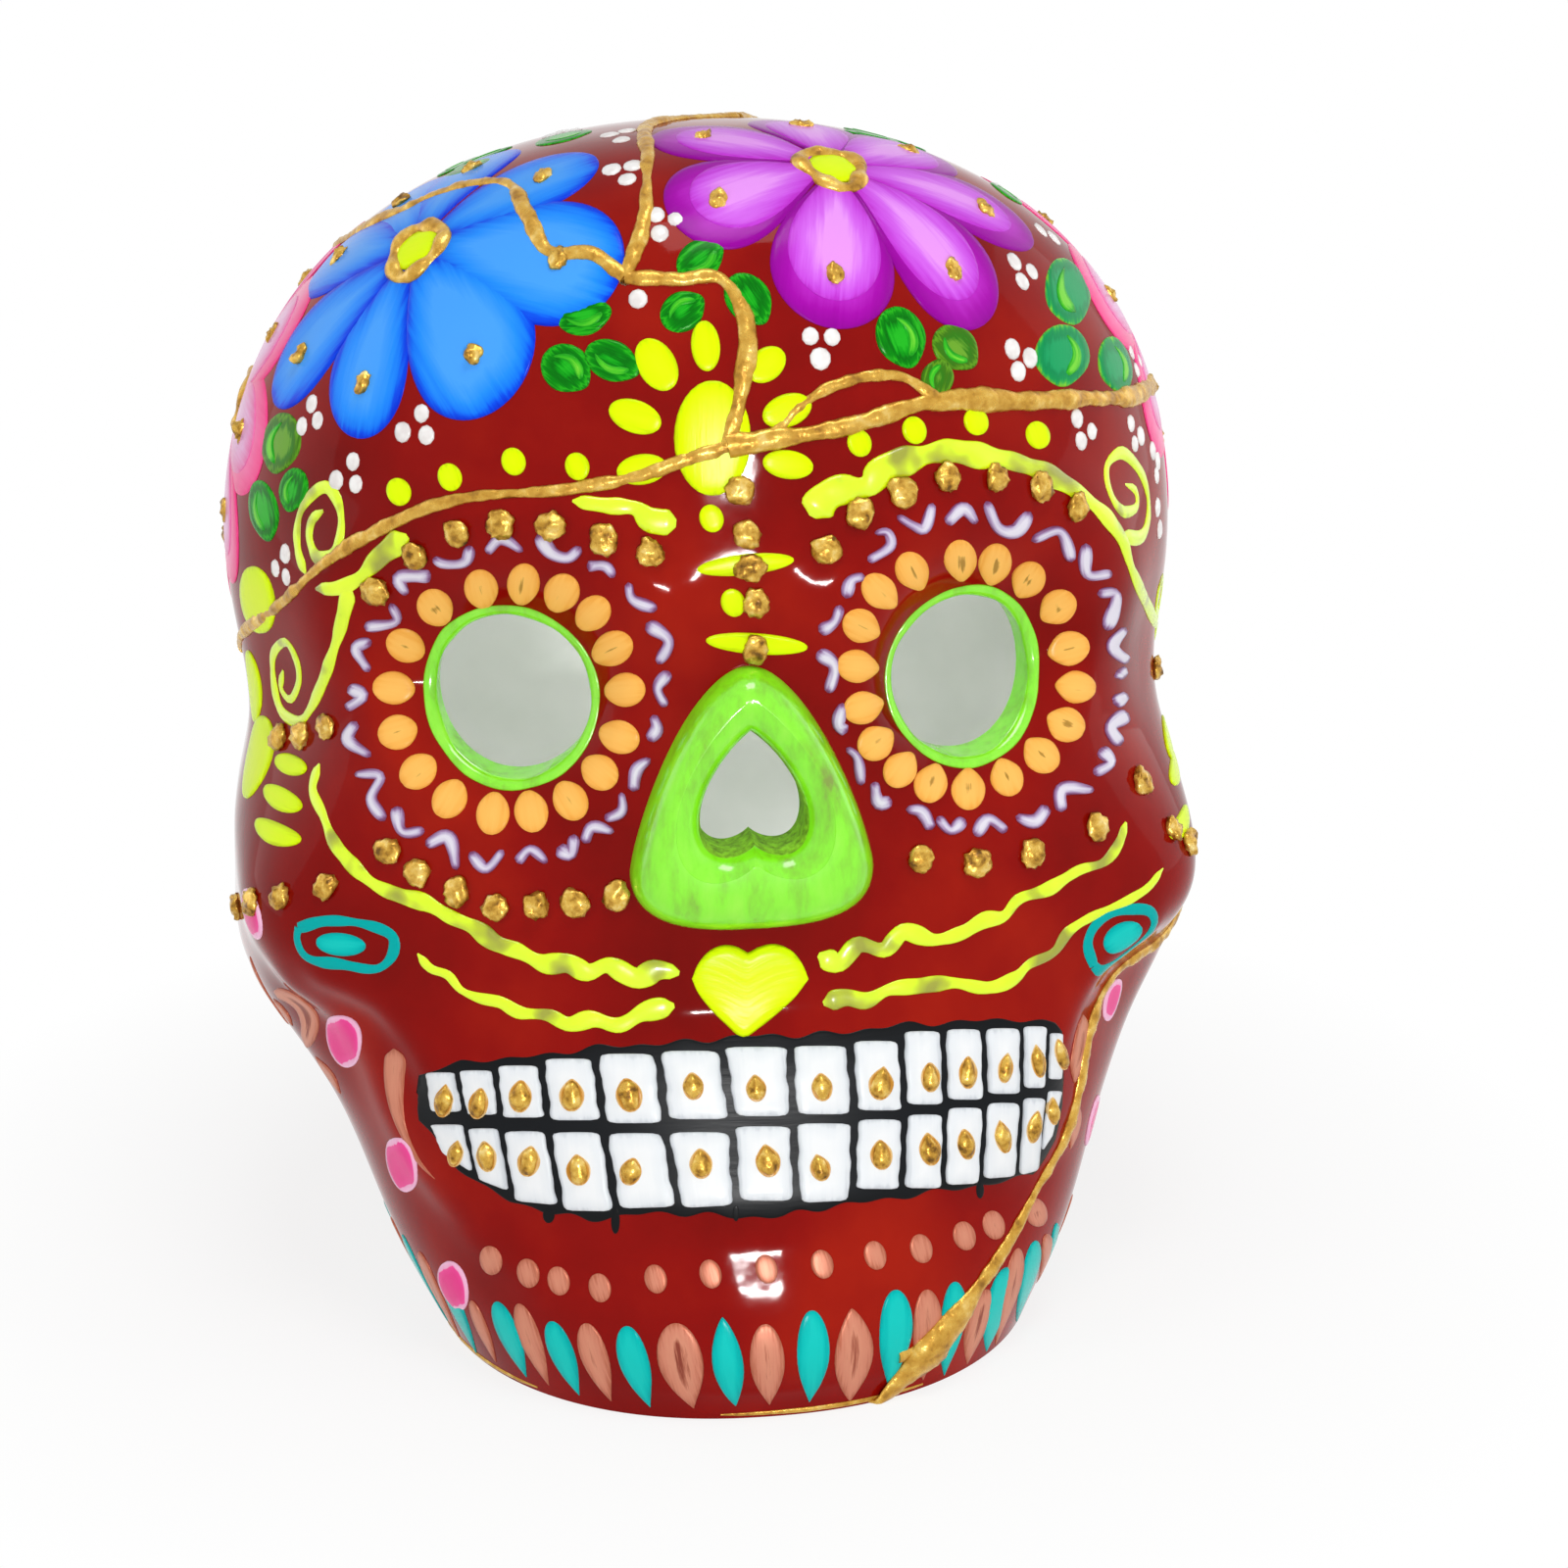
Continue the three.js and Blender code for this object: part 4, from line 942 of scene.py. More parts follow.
# Petal paints: craft acrylic, strong at the rim where the brush left it thick, and lighter inwards.
PETAL_PAINT = {
    "blue": paint("cobalt_acrylic", [(0.0, "#0830D6"), (0.14, "#0B4CEA"), (0.3, "#157AF8"), (0.55, "#2490FF"),
                                     (1.0, "#48A2FF")], 5.5, 0.9, 0.8),
    "purple": paint("purple_acrylic", [(0.0, "#8E0094"), (0.5, "#A408AA"), (1.0, "#BC2AC6")], 5.0, 0.8, 0.5),
    "pink": paint("pink_acrylic", [(0.0, "#F5428C"), (0.5, "#FF5FA2"), (1.0, "#FF78B4")], 5.0, 0.8, 0.5),
}
# The second coat is paler, and its bristle marks run from the middle of the flower outwards.
SECOND_COAT = {
    "purple": paint("lilac_acrylic",
                    [(0.0, "#BC30CC"), (0.25, "#C84CE0"), (0.6, "#D468EC"), (1.0, "#E898F6")], 4.6, 0.7, 0.9),
    "pink": paint("rose_acrylic", [(0.0, "#F070B0"), (0.4, "#F08CC4"), (1.0, "#F2B0E0")], 4.0, 0.7, 0.9),
}
SECOND_COAT_LENGTH, SECOND_COAT_WIDTH, SECOND_COAT_THICK = 0.86, 0.74, 0.12
DAB_SHARES = {"blue": 0.72, "purple": 0.72, "pink": 0.64}
RING_RADIUS, RING_WAVER, RING_HALF, RING_LUMP = 4.4, 0.35, 1.25, 0.25
YOLK_LENGTH, YOLK_WIDTH, YOLK_TURN, YOLK_THICK = 7.6, 7.2, 20, 0.5
petal_dabs, ring_lines, yolk_strokes = [], [], []
around = np.linspace(0, 2 * np.pi, 60)
# Fluorescent yellow acrylic: opaque and nearly even, a little greener at the rim.
yellow_acrylic = paint("fluorescent_yellow_acrylic", [(0.0, "#CDE600"), (0.2, "#DFFF00"), (1.0, "#E6FF14")],
                       3.4, 0.8, 0.7)


def oval(place, middle, length, width, angle, point=0.0):
    """An oval stroke on a sheet; point draws its far end to a tip."""
    t = np.sin(np.linspace(-np.pi / 2, np.pi / 2, 17))
    wide = np.sqrt(np.maximum(0, 1 - t * t)) * (1 - point * np.clip(t, 0, 1) ** 2)
    return place, np.asarray(middle) + polar(angle, length / 2)[None] * t[:, None], wide * width / 2


for name, (middle, petals) in FLOWERS.items():
    sheet = wrapped(*middle)
    kind = name.split("_")[-1]
    brush(name + "_petals", [petal(sheet, *p) for p in petals], PETAL_PAINT[kind], PAINT, PETAL_CROSS)
    if kind in SECOND_COAT:
        inner = [petal(sheet, angle, far * SECOND_COAT_LENGTH, half * SECOND_COAT_WIDTH)
                 for angle, far, half in petals]
        brush(name + "_second_coat", inner, SECOND_COAT[kind], SECOND_COAT_THICK, PETAL_CROSS, PAINT)
    petal_dabs += [sheet(polar(angle, far * DAB_SHARES[kind])[None]) for angle, far, _ in petals]
    radius = RING_RADIUS + RING_WAVER * np.sin(3 * around)
    places, normals = sheet(np.column_stack([np.cos(around), np.sin(around)]) * radius[:, None])
    ring_lines.append((places, normals, RING_HALF + RING_LUMP * np.sin(5 * around)))
    yolk_strokes.append(oval(sheet, (0, 0), YOLK_LENGTH, YOLK_WIDTH, YOLK_TURN))
brush("flower_middles", yolk_strokes, yellow_acrylic, YOLK_THICK)
rings = draw_bead("gold_flower_rings", ring_lines, gold_resin, 0.8, 0.8, 2.2, 31)


# Leaves. Single dabs of green acrylic in twos and threes beside the flowers, each pulled to a point with a
# round brush, with the lighter second stroke still showing. Picture place, length, width and angle of each.
LEAVES = {
    "green": [(596, 321, 57, 43, -10), (578, 376, 56, 50, 40), (625, 368, 60, 42, 25),
              (715, 264, 54, 42, -35), (697, 317, 50, 42, -35), (764, 305, 60, 46, 55),
              (920, 344, 66, 52, 70), (268, 521, 64, 30, 80), (299, 500, 46, 30, 100),
              (575, 140, 60, 26, -15), (1027, 197, 40, 24, 40)],
    "olive": [(285, 452, 64, 40, 100), (976, 355, 54, 44, 45), (957, 385, 40, 34, -75)],
    "teal": [(1092, 295, 70, 46, 75), (1086, 362, 64, 58, 90), (1140, 372, 60, 34, 75),
             (1150, 404, 22, 16, 90)],
}
LEAF_POINT, VEIN_BEND, VEIN_THICK, VEIN_BED = 0.35, 0.42, 0.06, 0.24
# Leaf paints: two greens taken up in one brush load, so that light and dark run side by side.
LEAF_PAINT = {
    "green": paint("leaf_green_acrylic", [(0.0, "#0E7A10"), (0.12, "#28B41C"), (0.3, "#06860F"),
                                          (0.6, "#036C0C"), (0.8, "#0C9A16"),
                                          (1.0, "#22B422")], 2.8, 0.6, 1.0),
    "olive": paint("olive_acrylic", [(0.0, "#3E7010"), (0.15, "#62A01E"), (0.4, "#3E7414"), (0.7, "#2F7A14"),
                                     (1.0, "#6AA42C")], 2.8, 0.6, 1.0),
    "teal": paint("sea_green_acrylic", [(0.0, "#7CCB34"), (0.16, "#34B048"), (0.34, "#0C9450"),
                                        (0.7, "#068A50"), (1.0, "#16A060")], 2.8, 0.6, 0.9),
}
# Out of sight the leaves stand in threes: the direction of each three, and their size in millimetres.
AWAY_THREES = [(120, 52), (-118, 58), (140, 22), (-122, 12), (-170, 20), (176, 62), (118, 8),
               (-70, 62), (60, 66)]
AWAY_LEAVES = [(az, el, turn) for az, el in AWAY_THREES for turn in (20, 80, 140)]
AWAY_LEAF_AT, AWAY_LEAF_LENGTH, AWAY_LEAF_WIDTH = 6.5, 9.5, 7.0


def rib(place, middle, length, width, angle, bend):
    """A thin stroke bowed along one side of a leaf."""
    t = np.linspace(-1, 1, 15)
    bow = bend * (1 - t * t)
    along, side = polar(angle, 1.0), polar(angle + 90, 1.0)
    path = np.asarray(middle) + along * (t * length * 0.34)[:, None] + side * (bow * width * 0.5)[:, None]
    return place, path, width * 0.13 * (1 - t ** 4) * (0.7 + 0.3 * t)


veins = []
for kind, leaves in LEAVES.items():
    strokes = [oval(eased((x, y)), (x, y), length, width, angle, LEAF_POINT)
               for x, y, length, width, angle in leaves]
    if kind == "green":
        strokes += [oval(wrapped(az, el), polar(turn, AWAY_LEAF_AT), AWAY_LEAF_LENGTH, AWAY_LEAF_WIDTH, turn,
                         LEAF_POINT) for az, el, turn in AWAY_LEAVES]
    brush(kind + "_leaves", strokes, LEAF_PAINT[kind], PAINT)
    veins += [rib(eased((x, y)), (x, y), length, width, angle, VEIN_BEND if (x + y) % 2 else -VEIN_BEND)
              for x, y, length, width, angle in leaves]
veins += [rib(wrapped(az, el), polar(turn, AWAY_LEAF_AT), AWAY_LEAF_LENGTH, AWAY_LEAF_WIDTH, turn, VEIN_BEND)
          for az, el, turn in AWAY_LEAVES]
# Young-leaf acrylic: a light stroke drawn into the leaf while it was wet.
young_leaf = paint("young_leaf_acrylic", [(0.0, "#1C9A1C"), (0.4, "#3CBC24"), (1.0, "#78D63A")],
                   0.9, 0.4, 0.5)
brush("leaf_veins", veins, young_leaf, VEIN_THICK, 7, VEIN_BED)


# Sun and brow dots. A yellow egg with seven oval rays between the brows, a row of dots along the break,
# and the heart under the nose, all in thick fluorescent yellow acrylic.
SUN = [(727, 447, 118, 80, 90), (670, 372, 58, 40, 60), (720, 353, 52, 30, 85), (782, 372, 44, 34, -40),
       (648, 425, 56, 34, 20), (803, 419, 52, 34, -20), (655, 479, 52, 32, -8), (804, 474, 52, 30, 8)]
BROW_DOTS = [(407, 502), (459, 487), (524, 471), (589, 476), (877, 452), (933, 439), (996, 430), (1059, 444),
             (726, 529), (748, 615)]
BROW_DOT_LENGTH, BROW_DOT_WIDTH, BROW_DOT_TURN = 29, 25, 70
SUN_THICK = 0.28
# Single drops between the eyes and at both temples, as picture place, length, width and angle.
DROPS = [(761, 576, 100, 22, -6), (772, 657, 104, 22, 4), (261, 612, 70, 36, 80), (259, 700, 74, 20, 85),
         (262, 772, 88, 32, 105), (296, 780, 34, 22, 20), (286, 815, 44, 24, 30), (279, 850, 50, 24, 25),
         (1191, 752, 50, 16, 95), (1199, 784, 44, 18, 110), (1207, 840, 40, 16, 110)]
sun_strokes = [oval(seen, (x, y), length, width, angle) for x, y, length, width, angle in SUN]
sun_strokes += [oval(seen, dot, BROW_DOT_LENGTH, BROW_DOT_WIDTH, BROW_DOT_TURN) for dot in BROW_DOTS]
HEART_TOP = [(706, 999), (712, 984), (724, 970), (740, 964), (755, 967), (763, 972), (772, 967), (790, 963),
             (808, 970), (819, 984), (825, 999)]
HEART_FOOT = [(706, 999), (712, 1013), (725, 1030), (740, 1045), (758, 1059), (775, 1049), (795, 1033),
              (812, 1017), (825, 999)]
sun_strokes += [oval(eased((x, y)), (x, y), length, width, angle) for x, y, length, width, angle in DROPS]


def heart(sheet):
    """A sheet of picture columns and shares of the heart's half height."""
    top, foot = (np.interp(sheet[:, 0], *through(edge, 6).T) for edge in (HEART_TOP, HEART_FOOT))
    return seen(np.column_stack([sheet[:, 0], (top + foot) / 2 + sheet[:, 1] * (foot - top) / 2]))


left, right = HEART_TOP[0][0], HEART_TOP[-1][0]
across = (left + right) / 2 - (right - left) / 2 * np.cos(np.linspace(0, np.pi, 40))
sun_strokes.append((heart, np.column_stack([across, 0 * across]), np.ones(len(across))))
brush("yellow_sun_and_drops", sun_strokes, yellow_acrylic, SUN_THICK)


# Yellow scrolls. Brow, temple and cheek lines squeezed from a fine nozzle, so they stand proud and waver.
# Each is a line through points of the picture, then its half width in pixels at both ends.
SCROLLS = {
    "right_brow": ([(829, 528), (838, 512), (853, 501), (885, 496), (900, 480), (929, 469), (967, 460),
                    (994, 464), (1035, 471), (1073, 486), (1105, 506), (1131, 530), (1145, 550), (1155, 581),
                    (1170, 616), (1187, 652)], 16, 6),
    "right_spiral": ([(1143, 546), (1164, 548), (1172, 520), (1164, 482), (1144, 462), (1130, 474),
                      (1132, 500), (1146, 522), (1159, 518), (1158, 500), (1148, 494)], 7, 5),
    "right_edge_spiral": ([(1186, 655), (1190, 630), (1188, 596), (1180, 588), (1174, 600), (1176, 622),
                           (1182, 626), (1184, 612)], 5, 4, False, eased((1182, 618))),
    "left_brow": ([(584, 511), (621, 516), (649, 519), (663, 530), (690, 534)], 5, 14),
    "left_brow_hook": ([(416, 547), (390, 566), (365, 591), (345, 600), (322, 601)], 12, 6),
    "left_temple": ([(357, 598), (350, 629), (340, 665), (324, 708), (306, 736), (289, 728), (279, 690),
                     (280, 665), (291, 655), (302, 672), (305, 695), (296, 714), (287, 703),
                     (289, 684)], 8, 5),
    "left_spiral": ([(312, 586), (304, 561), (306, 524), (319, 504), (333, 497), (346, 515), (347, 548),
                     (338, 568), (324, 569), (316, 550), (319, 530), (330, 521)], 6, 7),
    "left_cheek": ([(326, 779), (319, 805), (329, 830), (340, 858), (357, 880), (383, 903), (409, 914),
                    (434, 921), (460, 936), (485, 947), (505, 962), (530, 971), (555, 983), (580, 983),
                    (600, 992), (620, 985), (650, 998), (670, 990), (693, 993)], 6, 11),
    "left_lower_cheek": ([(426, 973), (439, 988), (457, 995), (470, 1010), (488, 1018), (511, 1023),
                          (530, 1033), (560, 1036), (580, 1045), (604, 1040), (632, 1046), (657, 1033),
                          (688, 1026)], 4, 10),
    "right_cheek": ([(835, 974), (856, 982), (876, 964), (902, 969), (922, 951), (953, 959), (983, 951),
                     (1004, 939), (1024, 935), (1039, 918), (1070, 907), (1101, 888), (1126, 880),
                     (1141, 862), (1149, 839)], 10, 5),
    "right_lower_cheek": ([(840, 1024), (862, 1018), (884, 1021), (907, 1010), (937, 1006), (973, 1003),
                           (1009, 1008), (1037, 997), (1050, 984), (1075, 972), (1090, 951), (1113, 936),
                           (1152, 918), (1172, 905), (1187, 886)], 9, 4),
}


LINE_WAVES = ((0.16, 3.4), (0.1, 1.5))
LINE_STEP, LINE_END = 4.0, 0.25


def drawn_line(pixels, first, last, closed=False, sheet=seen):
    """A line laid on the glaze through points of the picture, its half width in pixels at both ends."""
    path = evenly(through(pixels, 12), LINE_STEP)
    places, normals = sheet(path)
    depth = (places - view_place) @ -view_back
    at = np.linspace(0, 1, len(path))
    half = (first + (last - first) * at) * depth / FOCAL_PIXELS
    half *= 1 + sum(share * np.sin(at * len(at) / steps) for share, steps in LINE_WAVES)
    if not closed:
        from_end = np.minimum(np.arange(len(at)), np.arange(len(at))[::-1])
        half *= np.minimum(1.0, LINE_END + from_end / 3.0)
    return places, averaged(normals, 2), half


# Yellow slip standing in ridges: the same fluorescent yellow, a little dirtier in its wavering flanks.
yellow_slip = mottled(
    "yellow_slip", [(0.33, "#9CA02A"), (0.39, "#BACA18"), (0.44, "#D9F800"), (0.72, "#E6FF18")], 8.0,
    {"Detail": 2.0}, {"Roughness": 0.25, "Coat Weight": 0.4, "Coat Roughness": 0.05}, (0.3, 0.3))
scroll_lines = [drawn_line(*line) for line in SCROLLS.values()]
scrolls = draw_bead("yellow_scrolls", scroll_lines, yellow_slip, 0.32, 0.25, 3.0, 5)


# Eyes. Each hole has a lime rim, a ring of orange seed-shaped dabs in the dish, and a zigzag of pearly
# lilac strokes round the dish's edge.
ORANGE = {
    "left": ((520, 712), [(491, 601), (534, 596), (573, 605), (605, 626), (625, 662), (638, 704), (632, 752),
                          (612, 788), (582, 817), (542, 828), (503, 830), (459, 815), (427, 787), (406, 747),
                          (402, 702), (414, 659), (444, 620)]),
    "right": ((984, 690), [(931, 583), (980, 572), (1015, 576), (1049, 592), (1079, 620), (1090, 662),
                           (1097, 701), (1087, 739), (1062, 770), (1027, 793), (988, 805), (950, 799),
                           (919, 785), (894, 758), (881, 722), (875, 680), (879, 639), (898, 604)]),
}
ZIGZAG = [
    [(441, 569), (452, 575), (475, 573), (480, 556)], [(496, 565), (511, 550), (534, 563)],
    [(548, 545), (564, 565), (580, 569), (593, 558)], [(598, 578), (618, 578), (627, 590)],
    [(641, 594), (645, 611), (671, 622)], [(659, 636), (682, 654), (671, 678)],
    [(684, 685), (671, 702), (680, 722)], [(666, 729), (670, 744), (661, 756)],
    [(664, 774), (650, 785), (646, 808)], [(634, 808), (634, 828), (616, 836)],
    [(596, 861), (604, 844), (627, 849)], [(586, 851), (582, 872), (568, 865)],
    [(527, 881), (541, 867), (559, 881)], [(479, 869), (496, 886), (514, 867)],
    [(434, 863), (457, 854), (466, 888)], [(404, 822), (411, 849), (434, 847)],
    [(361, 790), (388, 792), (379, 815), (393, 838)], [(364, 736), (355, 754), (379, 772)],
    [(354, 701), (370, 710), (352, 724)], [(380, 654), (364, 661), (377, 686)],
    [(398, 615), (405, 633), (371, 640)], [(416, 608), (407, 590), (441, 588)],
    [(892, 544), (905, 543), (909, 556), (885, 573)], [(915, 526), (931, 536), (942, 540), (952, 513)],
    [(965, 535), (983, 519), (997, 535)], [(1006, 511), (1020, 540), (1036, 542), (1052, 522)],
    [(1052, 552), (1081, 542), (1094, 574)], [(1108, 554), (1110, 586), (1136, 585)],
    [(1119, 606), (1138, 606), (1129, 644)], [(1149, 640), (1135, 660), (1152, 676)],
    [(1140, 683), (1149, 692)], [(1151, 708), (1136, 719)], [(1152, 728), (1133, 742), (1144, 761)],
    [(1122, 763), (1133, 778), (1115, 790)], [(1083, 829), (1083, 806), (1117, 806)],
    [(1036, 833), (1056, 838), (1069, 822)], [(995, 854), (1008, 836), (1028, 849)],
    [(956, 833), (970, 847), (985, 835)], [(924, 826), (940, 828), (951, 847)],
    [(892, 797), (897, 819), (911, 817)], [(863, 763), (874, 772), (879, 802)],
    [(860, 717), (856, 740), (865, 747)], [(833, 665), (851, 679), (845, 708)],
    [(858, 617), (851, 635), (835, 645)], [(883, 588), (869, 592), (863, 611)]]
RIM_OUT, RIM_HALF, RIM_START = 0.55, 1.0, 30
SEED_LENGTH, SEED_WIDTH, SEED_THICK = 40, 34, 0.3
SEED_POINTS = {"left": 0.15, "right": 0.42}
ZIGZAG_HALF, ZIGZAG_STEP, ZIGZAG_THICK = 5.4, 3.0, 0.3
# Apricot acrylic: opaque and soft orange, dirtied brown in the middle of some seeds.
orange_acrylic = paint("apricot_acrylic", [(0.0, "#F0A646"), (0.35, "#F8B85A"), (0.84, "#FBBF62"),
                                           (0.98, "#AE8238")], 2.85, 0.8, 0.8)
# Pearl lilac acrylic: thin at its rim, so the red comes through, and paler where it lies thick.
pearl_lilac = paint("pearl_lilac_acrylic", [(0.0, "#7E4A74"), (0.3, "#A284AE"), (0.58, "#C6BCD4"),
                                            (1.0, "#E0DCE8")], 0.95, 0.5, 0.26, 0.3)
rim_lines, seed_strokes, zigzag_strokes = [], [], []
rng = np.random.default_rng(11)
loop = np.linspace(0, 2 * np.pi, 91)
for (side, (middle, seeds)), (centre, into, across) in zip(ORANGE.items(), eye_aims):
    spots = centre - into * RIM_START + (EYE_HOLE_RADIUS + RIM_OUT) * (
        np.cos(loop)[:, None] * across + np.sin(loop)[:, None] * [0, 0, 1])
    places, normals = cast(spots, np.tile(into, (len(loop), 1)))
    rim_lines.append((places, normals, RIM_HALF + 0.08 * np.sin(6 * loop) + 0.05 * np.sin(11 * loop)))
    for x, y in seeds:
        inward = np.degrees(np.arctan2(middle[1] - y, middle[0] - x))
        length, width = SEED_LENGTH + 4 * rng.random(), SEED_WIDTH + 3 * rng.random()
        seed_strokes.append(oval(seen, (x, y), length, width, inward, SEED_POINTS[side]))
for spots in ZIGZAG:
    path = evenly(through(spots, 8), ZIGZAG_STEP)
    at = np.linspace(0, 1, len(path))
    if rng.random() < 0.5:
        path = path[::-1]
    half = (ZIGZAG_HALF + 2.0 * rng.random()) * (0.8 + 0.35 * at) * (
        1 + 0.12 * np.sin(9 * at + 5 * rng.random()))
    zigzag_strokes.append((seen, path, half * (1 - np.abs(2 * at - 1) ** 6) ** 0.5))
rims = draw_bead("lime_eye_rims", rim_lines, lime_enamel, 0.55, 0.15, 3.0, 8)
brush("orange_seeds", seed_strokes, orange_acrylic, SEED_THICK)
brush("lilac_zigzags", zigzag_strokes, pearl_lilac, ZIGZAG_THICK, 7)


# Teeth. Two rows of square white teeth on the raised mouth, laid over a black ground that shows between
# them as the outlines.
MOUTH_TOP = [(424, 1098), (470, 1084), (530, 1078), (600, 1070), (680, 1063), (740, 1059), (810, 1055),
             (870, 1052), (920, 1046), (960, 1042), (1010, 1040), (1050, 1041), (1078, 1045), (1087, 1056)]
MOUTH_FOOT = [(424, 1140), (440, 1156), (465, 1190), (490, 1209), (520, 1226), (560, 1239), (600, 1244),
              (660, 1239), (740, 1241), (800, 1242), (860, 1230), (920, 1221), (960, 1217), (1010, 1209),
              (1055, 1198), (1078, 1160), (1087, 1112)]
# Between the teeth the black lines lean; each is given where it meets the top, middle and foot of the rows.
TOOTH_GAPS = [(433, 438, 450), (466, 475, 486), (505, 511, 523), (552, 559, 573), (607, 616, 629),
              (671, 679, 693), (736, 747, 751), (806, 809, 813), (867, 872, 870), (919, 923, 920),
              (962, 964, 962), (1003, 1005, 1000), (1042, 1042, 1037), (1069, 1067, 1060), (1085, 1084, 1074)]
UPPER_TOPS = [1094, 1092, 1087, 1080, 1075, 1072, 1068, 1067, 1062, 1052, 1050, 1049, 1047, 1054]
UPPER_FEET = [1134, 1137, 1140, 1143, 1146, 1142, 1139, 1137, 1133, 1127, 1122, 1116, 1110, 1101]
LOWER_TOPS = [1147, 1151, 1154, 1155, 1156, 1155, 1149, 1146, 1142, 1137, 1130, 1125, 1120, 1113]
LOWER_FEET = [1186, 1209, 1227, 1235, 1232, 1231, 1225, 1226, 1213, 1212, 1208, 1201, 1196, 1166]
# Towards the corners of the mouth the feet of the lower teeth slope: how much lower the right end is.
FOOT_SLOPES = [24, 14, 5, 1, -2, -3, 0, -3, 0, 0, -2, -3, -6, -22]
TOOTH_LINE, TOOTH_LINE_SHARE = 1.0, 0.045
TOOTH_THICK, TOOTH_BED, GROUND_THICK = 0.4, 0.17, 0.1
TOOTH_STEPS = 23
# How the edge of the black ground wavers, in pixels: share of its half height, length and phase.
MOUTH_WAVES = ((0.022, 7.3, 0.0), (0.018, 12.1, 1.0), (0.012, 23.0, 0.0))
# Where the black ran down under the teeth: picture place, length and width.
PAINT_RUNS = [(628, 1246, 26, 9), (751, 1238, 16, 7), (1000, 1214, 18, 8), (560, 1240, 16, 12)]
# Black acrylic: thin, flat and nearly even.
black_line = paint("black_acrylic", [(0.0, "#05070A"), (1.0, "#0B0E12")], 2.0, 0.9, 0.5, 0.3, 0.0, 1.25)
# White acrylic: laid on thick, greyer at the rim where the black shows through.
tooth_white = paint("white_acrylic", [(0.0, "#CDD2D8"), (0.25, "#E2E6EA"), (1.0, "#ECEEF0")],
                    2.4, 1.2, 0.6, 0.2)


def height_at(curve, x):
    return np.interp(x, [p[0] for p in curve], [p[1] for p in curve])


columns = np.linspace(MOUTH_TOP[0][0], MOUTH_TOP[-1][0], 200)
ragged = 1 + sum(share * np.sin(columns / long + phase) for share, long, phase in MOUTH_WAVES)


def mouth(sheet):
    """A sheet of picture columns and shares of the mouth's half height, on the raised mouth."""
    top, foot = height_at(MOUTH_TOP, sheet[:, 0]), height_at(MOUTH_FOOT, sheet[:, 0])
    return seen(np.column_stack([sheet[:, 0], (top + foot) / 2 + sheet[:, 1] * (foot - top) / 2]))


ground = [(mouth, np.column_stack([columns, 0 * columns]), ragged)]
ground += [oval(seen, (x, y), length, width, 90) for x, y, length, width in PAINT_RUNS]
brush("black_mouth_ground", ground, black_line, GROUND_THICK, 25)
teeth = []
t = np.sin(np.linspace(-np.pi / 2, np.pi / 2, TOOTH_STEPS))
level = [0] * len(FOOT_SLOPES)
for row, tops, feet, slopes in ((0, UPPER_TOPS, UPPER_FEET, level), (1, LOWER_TOPS, LOWER_FEET, FOOT_SLOPES)):
    for k, (high, low, slope) in enumerate(zip(tops, feet, slopes)):
        sides = [(gap[row], gap[row + 1]) for gap in TOOTH_GAPS[k:k + 2]]

        def tooth(sheet, sides=sides, high=high, low=low, slope=slope):
            """A sheet of shares across and down the tooth, laid between its two leaning sides."""
            across, down = sheet[:, 0], sheet[:, 1] / 2
            left, right = ((1 - down) * a + down * b for a, b in sides)
            tall = high + (low + slope * (across - 0.5) - high) * down
            return seen(np.column_stack([left + (right - left) * across, tall]))

        wobble = 1 + 0.03 * np.sin(5 * t + k) + 0.02 * np.sin(11 * t + 2 * k)
        wide = 0.5 - TOOTH_LINE_SHARE - TOOTH_LINE / (sides[1][0] - sides[0][0])
        square = (1 - np.abs(t) ** 30) ** 0.3
        teeth.append((tooth, np.column_stack([np.full(len(t), 0.5), t + 1]), wide * wobble * square))
brush("white_teeth", teeth, tooth_white, TOOTH_THICK, 11, TOOTH_BED)


# Cheeks and chin. Teal rings on the cheekbones, pink and copper dabs down the jaw, copper dots on the chin
# and a border of copper and teal tongues round the foot.
TEAL_RINGS = [[(300, 950), (330, 941), (370, 944), (398, 958), (398, 976), (384, 990), (345, 984), (306, 978),
               (298, 962), (300, 950)],
              [(1116, 985), (1112, 965), (1122, 945), (1146, 931), (1174, 930), (1180, 942), (1168, 966),
               (1146, 988), (1124, 992), (1116, 985)]]
TEAL_MIDDLES = [(347, 964, 52, 24, 5), (1146, 957, 44, 26, -35)]
PINK_OVALS = [(255, 934, 54, 22, 70), (351, 1060, 56, 32, 70), (410, 1188, 56, 30, 70),
              (462, 1314, 52, 28, 70), (1134, 1019, 46, 16, 105), (1114, 1143, 54, 14, 100)]
# Copper strokes down the jaw: points of the picture with the half width there, all in pixels.
COPPER = [
    [(403, 1068, 0), (404, 1077, 11), (402, 1100, 11), (404, 1129, 8), (411, 1157, 5), (425, 1186, 3),
     (444, 1206, 0)],
    [(276, 1014, 0), (284, 1014, 6), (297, 1017, 7), (309, 1026, 8), (316, 1043, 9), (314, 1060, 8),
     (308, 1075, 0)],
    [(276, 1020, 0), (284, 1026, 4), (294, 1036, 4), (299, 1048, 0)],
    [(252, 976, 0), (259, 992, 4), (268, 1010, 5), (280, 1030, 5), (296, 1047, 0)],
    [(319, 1078, 0), (330, 1090, 5), (341, 1102, 5), (350, 1116, 0)],
    [(1103, 1033, 0), (1104, 1044, 6), (1102, 1069, 8), (1098, 1090, 6), (1096, 1106, 0)],
    [(1100, 1125, 0), (1099, 1140, 5), (1096, 1156, 5), (1092, 1174, 0)]]
